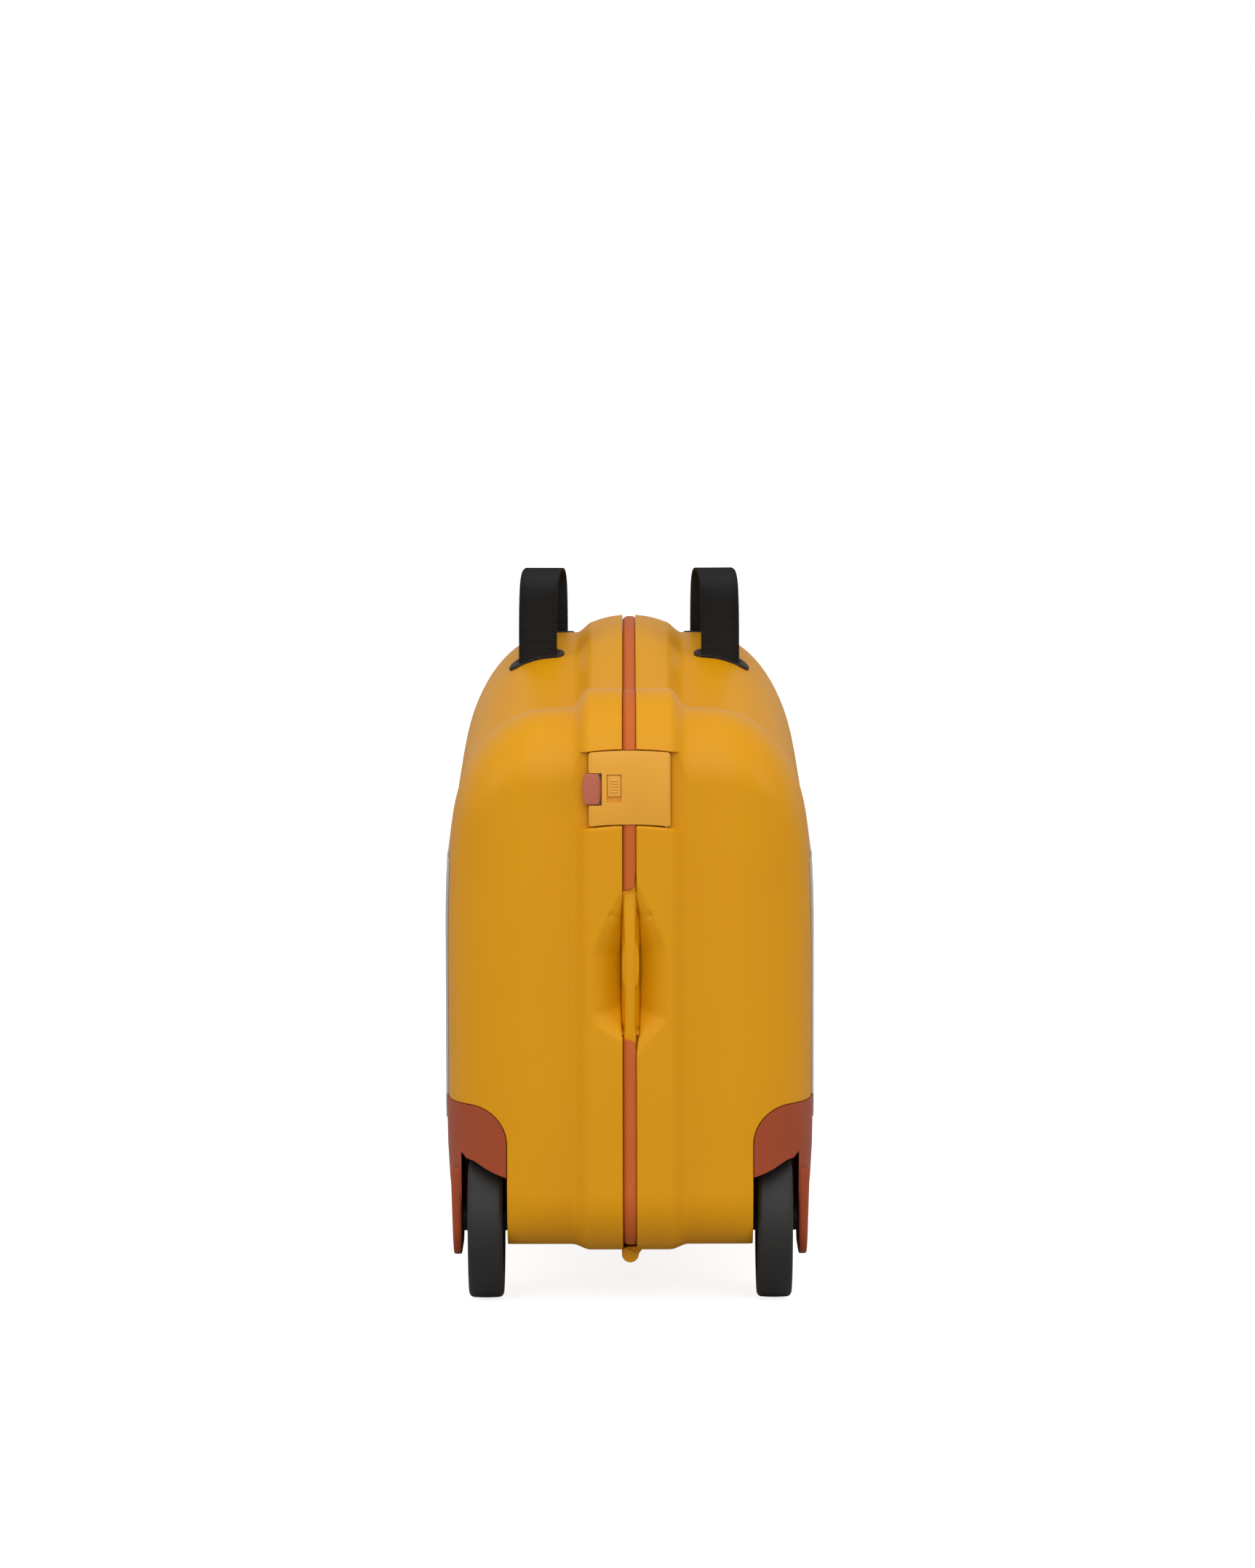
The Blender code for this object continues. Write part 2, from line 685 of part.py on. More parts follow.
def add_knuckles(shell, side_name, side):
    """Join a shell's own knuckles to it, bored for the pins."""
    spans = knuckle_spans()
    other = "right" if side_name == "left" else "left"
    relief = cutter(side_name + "_hinge_relief", *[
        lambda bm, low=low, high=high: rod(
            bm, (0, low - GAP, HINGE_Z), (0, high + GAP, HINGE_Z),
            KNUCKLE_RADIUS + SEAM_GAP, sides=20) for low, high in spans[other]])
    combine(shell, relief)
    bm = bmesh.new()
    for low, high in spans[side_name]:
        mesh = outline_mesh("knuckle", knuckle_outline(side), high - low, "XZ")
        mesh.transform(Matrix.Translation((0, (low + high) / 2, HINGE_Z)))
        bm.from_mesh(mesh)
        bpy.data.meshes.remove(mesh)
    combine(shell, add_object(side_name + "_knuckles", finish_mesh("knuckles", bm)), "UNION")
    bore = cutter(side_name + "_hinge_bore", *[
        lambda bm, low=low, high=high: rod(
            bm, (0, low - KNUCKLE_GAP, HINGE_Z), (0, high + KNUCKLE_GAP, HINGE_Z),
            HINGE_PIN_RADIUS + GAP, sides=12) for low, high in spans[side_name]])
    combine(shell, bore)


def add_hinge_pin():
    """One long steel pin through all the knuckles."""
    reach = HINGE_SPREAD + MIDDLE_KNUCKLE_LENGTH / 2 + KNUCKLE_GAP + KNUCKLE_LENGTH
    bm = bmesh.new()
    rod(bm, (0, -reach, 0), (0, reach, 0), HINGE_PIN_RADIUS, sides=12)
    pin = add_object("hinge_pin", finish_mesh("hinge_pin", bm, smooth=40), "steel", "left_half")
    pin.location = (0, 0, HINGE_Z)


def loop_axis(side):
    """Middle and turn of a webbing loop, seen from above."""
    run = Vector((side * (LOOP_REAR_X - LOOP_FRONT_X), LOOP_REAR_Y - LOOP_FRONT_Y))
    middle = Vector((side * (LOOP_REAR_X + LOOP_FRONT_X) / 2, (LOOP_REAR_Y + LOOP_FRONT_Y) / 2))
    return middle, math.atan2(-run.x, run.y), run.length


def loop_feet(side):
    """The two places where a loop enters the shell: front and rear."""
    return ((side * LOOP_FRONT_X, LOOP_FRONT_Y), (side * LOOP_REAR_X, LOOP_REAR_Y))


def strap_slots(bm, side, outer):
    """A slot for each leg of a loop, straight down through the wall."""
    _, turn, _ = loop_axis(side)
    for x, y in loop_feet(side):
        place, _ = surface_under(outer, x, y)
        size = (WEBBING_WIDTH + 2 * SLOT_CLEARANCE, WEBBING_THICKNESS + 2 * SLOT_CLEARANCE,
                2 * BEYOND)
        matrix = Matrix.Translation(place) @ Matrix.Rotation(turn, 4, "Z")
        bmesh.ops.create_cube(bm, size=1, matrix=matrix @ Matrix.Diagonal((*size, 1)))


def cup_screw_places(side):
    """Where the cup's screws go up through the well's ceiling: front and rear."""
    return {"front": (side * CASTER_X, CASTER_Y - CUP_SCREW_CIRCLE),
            "rear": (side * CASTER_X, CASTER_Y + CUP_SCREW_CIRCLE)}


def wall_holes(bm, side, outer):
    """Every hole through the walls of one half."""
    inner_x = WHEEL_X - WHEEL_WIDTH / 2 - WELL_SIDE_GAP
    rod(bm, (side * (inner_x + GAP), WHEEL_Y, WHEEL_RADIUS),
        (side * (inner_x - 2 * WALL), WHEEL_Y, WHEEL_RADIUS), AXLE_RADIUS + GAP)
    x, y = side * WHEEL_X, BRACKET_SCREW_Y
    rod(bm, (x, y, BRACKET_TOP_Z - WALL), (x, y, BRACKET_TOP_Z + 2 * WALL),
        SCREW_RADIUS + GAP, sides=10)
    ceiling = caster_top()
    rod(bm, (side * CASTER_X, CASTER_Y, ceiling - WALL),
        (side * CASTER_X, CASTER_Y, ceiling + 2 * WALL), STEM_RADIUS + GAP)
    for x, y in cup_screw_places(side).values():
        rod(bm, (x, y, ceiling - WALL), (x, y, ceiling + 2 * WALL), SCREW_RADIUS + GAP, sides=10)
    strap_slots(bm, side, outer)


def add_shell(side_name, side, edge):
    """A half shell: the outer form, hollowed, with wells, holes and knuckles."""
    outer = case_mesh(side_name + "_shell", side, 0, edge)
    carrier = side_name + "_half"
    shell = add_object(side_name + "_shell", outer, "shell", carrier)
    combine(shell, add_hollow(side_name, side))
    combine(shell, cutter(side_name + "_notches", lambda bm: latch_notches(bm, 0)))
    combine(shell, cutter(side_name + "_pockets", lambda bm: latch_pockets(bm, 0)))
    combine(shell, cutter(side_name + "_wells",
                          lambda bm: wheel_block(bm, side, 0),
                          lambda bm: caster_well(bm, side, 0)))
    combine(shell, add_object(side_name + "_recess", recess_mesh("recess", 0)))
    combine(shell, cutter(side_name + "_holes", lambda bm: wall_holes(bm, side, outer)))
    add_knuckles(shell, side_name, side)
    return shell


def add_grip(shell):
    """The fin handle: a bar across the finger recess, moulded with the right shell."""
    front = HALF_LENGTH - PLATE_SINK
    back = front - GRIP_DEPTH
    floor = HALF_LENGTH - RECESS_DEPTH - WALL
    low, high = RECESS_LOW - WALL, RECESS_HIGH + WALL
    middle = (RECESS_LOW + RECESS_HIGH) / 2
    half_gap = (RECESS_FULL_HIGH - RECESS_FULL_LOW) / 2 + GRIP_DEPTH / 2
    points = [(-front, high), (-front, low), (-floor, low)]
    points += [(y, z) for y, z in arc((-floor, middle), (back - floor, half_gap), 270, 90, 10)]
    points += [(-floor, high)]
    bar = add_object("grip_bar", outline_mesh("grip_bar", points, GRIP_THICKNESS + GRIP_ROOT, "YZ"))
    bar.location = (GRIP_ROOT / 2 + GAP / 2, 0, 0)
    combine(bar, add_object("grip_limit", recess_mesh("grip_limit", WALL / 2)), "INTERSECT")
    combine(shell, bar, "UNION")


def add_latch_bores(shell):
    """Bores in the notch's lower walls for the latch pins."""
    for end_name, end in ENDS:
        x, y = latch_axis(end)
        low, high = latch_pin_span(end_name)
        bore = cutter(end_name + "_latch_bore", lambda bm: rod(
            bm, (x, y, low - GAP), (x, y, high + GAP), LATCH_PIN_RADIUS + GAP, sides=10))
        combine(shell, bore)


def add_strips():
    """The terracotta strip in the seam, in the three runs that latches and handle leave."""
    ring = ridge_offset_path(0)
    inner = ridge_offset_path(STRIP_DEPTH)
    above = LATCH_HEIGHT / 2 + NOTCH_RISE + GAP
    below = LATCH_HEIGHT / 2 + NOTCH_DROP + GAP
    near_top, far_top = (LATCH_HEIGHTS[end_name] + above for end_name in ("near", "far"))
    near_low, far_low = (LATCH_HEIGHTS[end_name] - below for end_name in ("near", "far"))
    grip_top = RECESS_HIGH + WALL / 2 + GAP
    grip_low = RECESS_LOW - WALL / 2 - GAP
    reach = HALF_LENGTH + BEYOND
    roof = FRONT_CREST_Z + BEYOND
    step = -END_Y / 2
    runs = {
        "seam_strip_top": [(-reach, near_top), (step, near_top), (-step, far_top),
                           (reach, far_top), (reach, roof), (-reach, roof)],
        "seam_strip_near_upper": [(-reach, grip_top), (step, grip_top), (step, near_low),
                                  (-reach, near_low)],
        "seam_strip_lower": [(-reach, -BEYOND), (reach, -BEYOND), (reach, far_low),
                             (step, far_low), (step, grip_low), (-reach, grip_low)],
    }
    core = add_object("strip_core", outline_mesh("strip_core", inner, 2 * STRIP_WIDTH, "YZ"))
    for name, window in runs.items():
        strip = add_object(name, outline_mesh(name, ring, STRIP_WIDTH, "YZ"), "strip", "right_half")
        combine(strip, core)
        pane = add_object(name + "_run", outline_mesh(name + "_run", window, 4 * STRIP_WIDTH, "YZ"))
        combine(strip, pane, "INTERSECT")


def add_side_panels():
    """Thin pale panels on both flanks, following the side's own surface."""
    outline = []
    for point, normal in stations():
        share = blend(normal, PANEL_TOP_SHARE, PANEL_END_SHARE, PANEL_BASE_SHARE)
        outline.append(tuple(point.lerp(flat_target(point, normal), share)))
    for side_name, side in SIDES:
        name = side_name + "_side_panel"
        skin = case_mesh(name, side, GAP + PANEL_THICKNESS, LEFT_EDGE)
        panel = add_object(name, skin, "panel", side_name + "_half")
        body = case_mesh("panel_back", side, GAP, -BEYOND)
        combine(panel, add_object(side_name + "_panel_back", body))
        pane = add_object(side_name + "_panel_pane",
                          outline_mesh("panel_pane", outline, PANEL_SPAN / 2, "YZ"))
        pane.location.x = side * PANEL_SPAN / 2
        combine(panel, pane, "INTERSECT")
        combine(panel, cutter(side_name + "_panel_corner", lambda bm: wheel_block(bm, side, 0)))


def wheel_space_outline():
    """The space round a fixed wheel seen from the side, open in front and below."""
    radius = WHEEL_RADIUS + WELL_ROUND_GAP
    start = 180 - math.degrees(math.asin((HOOD_LOW_Z - WHEEL_RADIUS) / radius))
    round_part = arc((WHEEL_Y, WHEEL_RADIUS), (radius, radius), start, 0, 12)
    reach = HALF_LENGTH + BEYOND
    return round_part + [(WHEEL_Y + radius, -BEYOND), (-reach, -BEYOND), (-reach, HOOD_LOW_Z)]


def skirt_outline():
    """The cheek's lower edge seen from the side: a plate with round lower corners."""
    middle = WHEEL_Y + SKIRT_SHIFT
    near, far = middle - SKIRT_LENGTH / 2, middle + SKIRT_LENGTH / 2
    radii = (SKIRT_CORNER, SKIRT_CORNER)
    low = SKIRT_LOW_Z + SKIRT_CORNER
    return ([(near, SKIRT_TOP_Z)] + arc((near + SKIRT_CORNER, low), radii, 180, 270, 5)
            + arc((far - SKIRT_CORNER, low), radii, 270, 360, 5) + [(far, SKIRT_TOP_Z)])


def add_brackets():
    """Terracotta covers on the near corners, each with a cheek outside its wheel."""
    cheek_x = WHEEL_X + WHEEL_WIDTH / 2 + CHEEK_GAP
    inner_x = WHEEL_X - WHEEL_WIDTH / 2 - WELL_SIDE_GAP - WALL
    for side_name, side in SIDES:
        name = side_name + "_rear_bracket"
        form = case_mesh(name, side, BRACKET_PROUD, LEFT_EDGE, CHEEK_REACH)
        bracket = add_object(name, form, "bracket", side_name + "_half")
        block = cutter(side_name + "_bracket_block",
                       lambda bm: wheel_block(bm, side, -BRACKET_FIT))
        combine(bracket, block, "INTERSECT")
        space = add_object(side_name + "_wheel_space",
                           outline_mesh("wheel_space", wheel_space_outline(), cheek_x - inner_x, "YZ"))
        space.location.x = side * (cheek_x + inner_x) / 2
        combine(bracket, space)
        skirt = add_object(side_name + "_skirt",
                           outline_mesh("skirt", skirt_outline(), SKIRT_THICKNESS, "YZ"))
        skirt.location.x = side * (cheek_x + SKIRT_SINK + SKIRT_THICKNESS / 2)
        combine(bracket, skirt, "UNION")
        holes = cutter(side_name + "_bracket_holes",
                       lambda bm: rod(bm, (side * (cheek_x - GAP), WHEEL_Y, WHEEL_RADIUS),
                                      (side * (cheek_x + AXLE_BITE), WHEEL_Y, WHEEL_RADIUS),
                                      AXLE_RADIUS + GAP),
                       lambda bm: rod(bm, (side * WHEEL_X, BRACKET_SCREW_Y, BRACKET_TOP_Z + WALL),
                                      (side * WHEEL_X, BRACKET_SCREW_Y,
                                       BRACKET_TOP_Z - BRACKET_SCREW_LENGTH),
                                      SCREW_RADIUS + GAP, sides=10))
        combine(bracket, holes)


def screw_profile(length):
    """Head and shank of a screw, head up, the head's underside at height 0."""
    return [(0, SCREW_HEAD_HEIGHT), (SCREW_HEAD_RADIUS, SCREW_HEAD_HEIGHT),
            (SCREW_HEAD_RADIUS, 0), (SCREW_RADIUS, 0), (SCREW_RADIUS, -length), (0, -length)]


def add_screw(name, place, length, carrier, head_up=True):
    """One screw with its head up or down, the head's underside at the given place."""
    screw = turned(name, screw_profile(length), 12, "steel", carrier, place)
    if not head_up:
        screw.rotation_euler = (math.pi, 0, 0)
    return screw


def tyre_profile(radius, thickness, width, edge):
    """A tyre's section, outer side first, with bevelled tread corners."""
    half = width / 2
    return [(radius - thickness, half), (radius - edge, half), (radius, half - edge),
            (radius, edge - half), (radius - edge, -half), (radius - thickness, -half)]


def hub_profile(bore, boss, web, rim, rim_thickness, width, proud):
    """A wheel centre: boss, web and rim in one section."""
    half = width / 2
    inside = rim - rim_thickness
    return [(bore, half + proud), (boss, half + proud), (boss, web / 2), (inside, web / 2),
            (inside, half), (rim, half), (rim, -half), (inside, -half), (inside, -web / 2),
            (boss, -web / 2), (boss, -half - proud), (bore, -half - proud)]


def pin_profile(radius, length, head_radius, head_height):
    """A headed pin that runs from height 0 up, with its head below 0."""
    return [(0, length), (radius, length), (radius, 0), (head_radius, 0),
            (head_radius, -head_height), (0, -head_height)]


def add_wheels():
    """The two big fixed wheels on their axles."""
    inner_x = WHEEL_X - WHEEL_WIDTH / 2 - WELL_SIDE_GAP - WALL - GAP
    outer_x = WHEEL_X + WHEEL_WIDTH / 2 + CHEEK_GAP + AXLE_BITE - GAP
    rim = WHEEL_RADIUS - TYRE_THICKNESS - GAP
    for side_name, side in SIDES:
        spin = side_name + "_rear_spin"
        centre = (side * WHEEL_X, WHEEL_Y, WHEEL_RADIUS)
        pivot(spin, centre, side_name + "_half")
        turned(side_name + "_rear_tyre",
               tyre_profile(WHEEL_RADIUS, TYRE_THICKNESS, WHEEL_WIDTH, TYRE_EDGE),
               40, "rubber", spin, centre, "X")
        turned(side_name + "_rear_hub",
               hub_profile(AXLE_RADIUS + GAP, HUB_BOSS_RADIUS, HUB_WEB, rim, RIM_THICKNESS,
                           WHEEL_WIDTH - 2 * TYRE_EDGE, HUB_BOSS_PROUD + TYRE_EDGE),
               32, "hub", spin, centre, "X")
        axle = turned(side_name + "_rear_axle",
                      pin_profile(AXLE_RADIUS, outer_x - inner_x, AXLE_HEAD_RADIUS,
                                  AXLE_HEAD_HEIGHT),
                      16, "steel", side_name + "_half", (side * inner_x, WHEEL_Y, WHEEL_RADIUS), "X")
        if side < 0:
            axle.rotation_euler = (0, -math.pi / 2, 0)
        add_screw(side_name + "_bracket_screw",
                  (side * WHEEL_X, BRACKET_SCREW_Y, BRACKET_TOP_Z + WALL + GAP),
                  BRACKET_SCREW_LENGTH, side_name + "_half")


def fork_arm_outline():
    """One arm of the fork seen from the side, round its axle."""
    top = CASTER_RADIUS + FORK_TOP_GAP + FORK_PLATE
    ring = arc((-CASTER_TRAIL, 0), (FORK_END_RADIUS,) * 2, 200, 350, 8)
    return [(-FORK_PLATE_RADIUS * 0.8, top)] + ring + [(FORK_PLATE_RADIUS * 0.6, top)]


def add_fork(side_name, centre, carrier):
    """A fork: a round plate with two arms, bored for stem and axle."""
    plate_low = 2 * CASTER_RADIUS + FORK_TOP_GAP
    bm = bmesh.new()
    rod(bm, (0, 0, plate_low), (0, 0, plate_low + FORK_PLATE), FORK_PLATE_RADIUS, sides=24)
    fork = add_object(side_name + "_caster_fork", finish_mesh("fork", bm, smooth=40), "hub", carrier)
    fork.location = (*centre, 0)
    arm_x = CASTER_WIDTH / 2 + FORK_SIDE_GAP + FORK_ARM / 2
    for way_name, way in SIDES:
        mesh = outline_mesh("fork_arm", fork_arm_outline(), FORK_ARM, "YZ")
        arm = add_object(side_name + "_fork_" + way_name + "_arm", mesh)
        arm.location = (centre[0] + way * arm_x, centre[1], CASTER_RADIUS)
        combine(fork, arm, "UNION")
    reach = arm_x + FORK_ARM
    y = centre[1] - CASTER_TRAIL
    combine(fork, cutter(side_name + "_fork_bores",
                         lambda bm: rod(bm, (*centre, plate_low - FORK_PLATE),
                                        (*centre, plate_low + 2 * FORK_PLATE), STEM_RADIUS + GAP),
                         lambda bm: rod(bm, (centre[0] - reach, y, CASTER_RADIUS),
                                        (centre[0] + reach, y, CASTER_RADIUS),
                                        CASTER_AXLE_RADIUS + GAP, sides=12)))
    return fork


def add_casters():
    """The two swivel casters under the grips."""
    top = caster_top()
    plate_low = 2 * CASTER_RADIUS + FORK_TOP_GAP
    plate_high = plate_low + FORK_PLATE
    cup = CUP_RADIUS
    bore = STEM_RADIUS + GAP
    boss_low = plate_high + GAP
    cup_profile = [(bore, top), (cup, top), (cup, top - CUP_SKIRT),
                   (cup - CUP_WALL, top - CUP_SKIRT), (cup - CUP_WALL, top - CUP_WALL),
                   (CUP_BOSS_RADIUS, top - CUP_WALL), (CUP_BOSS_RADIUS, boss_low),
                   (bore, boss_low)]
    rim = CASTER_RADIUS - CASTER_TYRE - GAP
    axle_reach = CASTER_WIDTH / 2 + FORK_SIDE_GAP + FORK_ARM + GAP
    for side_name, side in SIDES:
        half = side_name + "_half"
        swivel = side_name + "_caster_swivel"
        spin = side_name + "_caster_spin"
        centre = (side * CASTER_X, CASTER_Y)
        wheel = (centre[0], CASTER_Y - CASTER_TRAIL, CASTER_RADIUS)
        pivot(swivel, (*centre, plate_high), half)
        pivot(spin, wheel, swivel)
        housing = turned(side_name + "_caster_cup", cup_profile, 28, "bracket", half, (*centre, 0))
        combine(housing, cutter(side_name + "_cup_holes", *[
            lambda bm, x=x, y=y: rod(bm, (x, y, top - 2 * CUP_WALL), (x, y, top + CUP_WALL),
                                     SCREW_RADIUS + GAP, sides=10)
            for x, y in cup_screw_places(side).values()]))
        stem_top = top + GAP + WALL + GAP
        stem_profile = [(0, stem_top + STEM_HEAD_HEIGHT), (STEM_HEAD_RADIUS, stem_top + STEM_HEAD_HEIGHT),
                        (STEM_HEAD_RADIUS, stem_top), (STEM_RADIUS, stem_top),
                        (STEM_RADIUS, plate_low - GAP), (STEM_HEAD_RADIUS * 0.8, plate_low - GAP),
                        (STEM_HEAD_RADIUS * 0.8, plate_low - GAP - STEM_HEAD_HEIGHT / 2),
                        (0, plate_low - GAP - STEM_HEAD_HEIGHT / 2)]
        turned(side_name + "_caster_stem", stem_profile, 16, "steel", half, (*centre, 0))
        add_fork(side_name, centre, swivel)
        turned(side_name + "_caster_tyre",
               tyre_profile(CASTER_RADIUS, CASTER_TYRE, CASTER_WIDTH, TYRE_EDGE / 2),
               28, "rubber", spin, wheel, "X")
        turned(side_name + "_caster_hub",
               hub_profile(CASTER_AXLE_RADIUS + GAP, rim / 2, HUB_WEB, rim, RIM_THICKNESS / 2,
                           CASTER_WIDTH - TYRE_EDGE, FORK_SIDE_GAP),
               24, "hub", spin, wheel, "X")
        bm = bmesh.new()
        rod(bm, (-axle_reach, 0, 0), (axle_reach, 0, 0), CASTER_AXLE_RADIUS, sides=12)
        axle = add_object(side_name + "_caster_axle", finish_mesh("caster_axle", bm, smooth=40),
                          "steel", swivel)
        axle.location = wheel
        for screw_name, (x, y) in cup_screw_places(side).items():
            add_screw(side_name + "_" + screw_name + "_caster_screw",
                      (x, y, top - CUP_WALL - GAP), CUP_SCREW_LENGTH, half, head_up=False)


def latch_axis(end):
    """Where the latch plate turns, seen from above."""
    depth = HALF_LENGTH - PLATE_SINK - PLATE_THICKNESS / 2
    return LATCH_HALF - PLATE_THICKNESS / 2, end * depth


def latch_pin_span(end_name):
    """How far the latch pin reaches: from the wall below the plate to just inside its top."""
    middle = LATCH_HEIGHTS[end_name]
    low = middle - LATCH_HEIGHT / 2 - NOTCH_DROP - LATCH_PIN_BITE
    high = middle + LATCH_HEIGHT / 2 - 2 * GAP
    return low, high


def plate_outline(end):
    """The latch plate from above: chamfered on the free side, round about its pin."""
    x, y = latch_axis(1)
    half = PLATE_THICKNESS / 2
    heel = arc((x, y), (half, half), 90, -90, 8)
    points = heel + [(-LATCH_HALF, y - half), (-LATCH_HALF, y + half - PLATE_CHAMFER),
                     (PLATE_CHAMFER - LATCH_HALF, y + half)]
    return [(px, end * py) for px, py in points]


def button_outline():
    """The button from the front, with its two sides barrelled outwards."""
    half = BUTTON_HEIGHT / 2
    points = []
    for edge, way, order in ((BUTTON_RIGHT, -1, (-1, -0.5, 0, 0.5, 1)),
                             (BUTTON_LEFT, 1, (1, 0.5, 0, -0.5, -1))):
        for share in order:
            points.append((edge + way * BUTTON_BARREL * share ** 2, share * half))
    return points


def coil_mesh(name, start, length):
    """A round wire wound into a compression spring along Y."""
    curve = bpy.data.curves.new(name, "CURVE")
    curve.dimensions = "3D"
    curve.bevel_depth = SPRING_WIRE
    curve.bevel_resolution = 1
    curve.use_fill_caps = True
    steps = 9 * SPRING_TURNS
    spline = curve.splines.new("POLY")
    spline.points.add(steps)
    for i, point in enumerate(spline.points):
        angle = 2 * math.pi * SPRING_TURNS * i / steps
        point.co = (start[0] + SPRING_RADIUS * math.cos(angle),
                    start[1] + length * i / steps,
                    start[2] + SPRING_RADIUS * math.sin(angle), 1)
    drawn = bpy.data.objects.new(name, curve)
    CUTTERS.objects.link(drawn)
    graph = bpy.context.evaluated_depsgraph_get()
    mesh = bpy.data.meshes.new_from_object(drawn.evaluated_get(graph))
    bpy.data.objects.remove(drawn)
    bpy.data.curves.remove(curve)
    bm = bmesh.new()
    bm.from_mesh(mesh)
    bpy.data.meshes.remove(mesh)
    bmesh.ops.remove_doubles(bm, verts=bm.verts, dist=0.00001)
    return finish_mesh(name, bm)


def add_latch(end_name, end):
    """One latch: hinged plate with slider, and base with button on the other half."""
    x, y = latch_axis(end)
    latch_z = LATCH_HEIGHTS[end_name]
    face = HALF_LENGTH - PLATE_SINK
    back = face - PLATE_THICKNESS
    pocket = back - POCKET_DEPTH
    hinge = end_name + "_latch_swing"
    slide = end_name + "_slider_slide"
    press = end_name + "_button_press"
    button_x = (BUTTON_LEFT + BUTTON_RIGHT) / 2
    pivot(hinge, (x, y, latch_z), "right_half")
    pivot(slide, (SLIDER_X, end * face, latch_z), hinge)
    pivot(press, (button_x, end * HALF_LENGTH, latch_z), "left_half")

    plate = add_object(end_name + "_latch_plate",
                       outline_mesh("latch_plate", plate_outline(end), LATCH_HEIGHT, "XY"),
                       "latch", hinge)
    plate.location = (0, 0, latch_z)
    side_x = BUTTON_RIGHT + GAP
    half_slot = BUTTON_HEIGHT / 2
    window_x = SLIDER_WIDTH / 2 + GAP
    window_low = SLIDER_RISE - SLIDER_HEIGHT / 2 - SLIDER_TRAVEL - GAP
    window_high = SLIDER_RISE + SLIDER_HEIGHT / 2 + GAP
    low_y, high_y = sorted((end * (back - GAP), end * (face + BEYOND)))
    win_low_y, win_high_y = sorted((end * (face - PLATE_SINK - SLIDER_DEPTH - GAP),
                                    end * (face + BEYOND)))
    combine(plate, cutter(
        end_name + "_plate_cuts",
        lambda bm: box(bm, (-LATCH_HALF - BEYOND, low_y, latch_z - half_slot - BUTTON_SLACK),
                       (side_x, high_y, latch_z + half_slot + GAP)),
        lambda bm: box(bm, (SLIDER_X - window_x, win_low_y, latch_z + window_low),
                       (SLIDER_X + window_x, win_high_y, latch_z + window_high)),
        lambda bm: rod(bm, (x, y, latch_z - LATCH_HEIGHT), (x, y, latch_z + LATCH_HEIGHT),
                       LATCH_PIN_RADIUS + GAP, sides=10)))

    bm = bmesh.new()
    low, high = latch_pin_span(end_name)
    rod(bm, (x, y, low), (x, y, high), LATCH_PIN_RADIUS, sides=10)
    add_object(end_name + "_latch_pin", finish_mesh("latch_pin", bm, smooth=40), "steel",
               "right_half")

    bm = bmesh.new()
    box(bm, (-SLIDER_WIDTH / 2, -SLIDER_DEPTH / 2, -SLIDER_HEIGHT / 2),
        (SLIDER_WIDTH / 2, SLIDER_DEPTH / 2, SLIDER_HEIGHT / 2))
    slider = add_object(end_name + "_latch_slider", finish_mesh("latch_slider", bm), "latch", slide)
    slider.location = (SLIDER_X, end * (face - PLATE_SINK - SLIDER_DEPTH / 2), latch_z + SLIDER_RISE)

    button_face = HALF_LENGTH - BUTTON_SINK
    button = add_object(end_name + "_latch_button",
                        outline_mesh("latch_button", button_outline(), BUTTON_THICKNESS, "XZ"),
                        "button", press)
    button.location = (0, end * (button_face - BUTTON_THICKNESS / 2), latch_z)
    button_back = button_face - BUTTON_THICKNESS
    stem_end = button_back - BUTTON_STEM_LENGTH
    stem = cutter(end_name + "_button_stem", lambda bm: rod(
        bm, (button_x, end * (button_face - BUTTON_THICKNESS / 2), latch_z),
        (button_x, end * stem_end, latch_z), BUTTON_STEM_RADIUS, sides=12))
    combine(button, stem, "UNION")

    base_low = pocket + GAP
    base_high = base_low + LATCH_BASE_THICKNESS
    near_y, far_y = sorted((end * base_low, end * base_high))
    half_base = LATCH_HEIGHT / 2 - LATCH_BASE_MARGIN
    bm = bmesh.new()
    box(bm, (-LATCH_HALF, near_y, latch_z - half_base), (-LEFT_EDGE - GAP, far_y, latch_z + half_base))
    base = add_object(end_name + "_latch_base", finish_mesh("latch_base", bm), "inner", "left_half")
    keep_near, keep_far = sorted((end * (base_high - GAP), end * (back - GAP)))
    keeper = cutter(end_name + "_keeper", lambda bm: box(
        bm, (-LEFT_EDGE - 2 * KEEPER_WIDTH, keep_near, latch_z - half_base),
        (-LEFT_EDGE - KEEPER_WIDTH, keep_far, latch_z + half_base)))
    combine(base, keeper, "UNION")
    combine(base, cutter(end_name + "_stem_bore", lambda bm: rod(
        bm, (button_x, near_y - GAP, latch_z), (button_x, far_y + GAP, latch_z),
        BUTTON_STEM_RADIUS + GAP, sides=12)))

    spring_start = base_high + GAP + SPRING_WIRE
    spring_length = button_back - GAP - SPRING_WIRE - spring_start
    coil = coil_mesh("button_spring", (button_x, spring_start, latch_z), spring_length)
    if end < 0:
        coil.transform(Matrix.Diagonal((1, -1, 1, 1)))
        coil.flip_normals()
    add_object(end_name + "_button_spring", coil, "steel", "left_half")


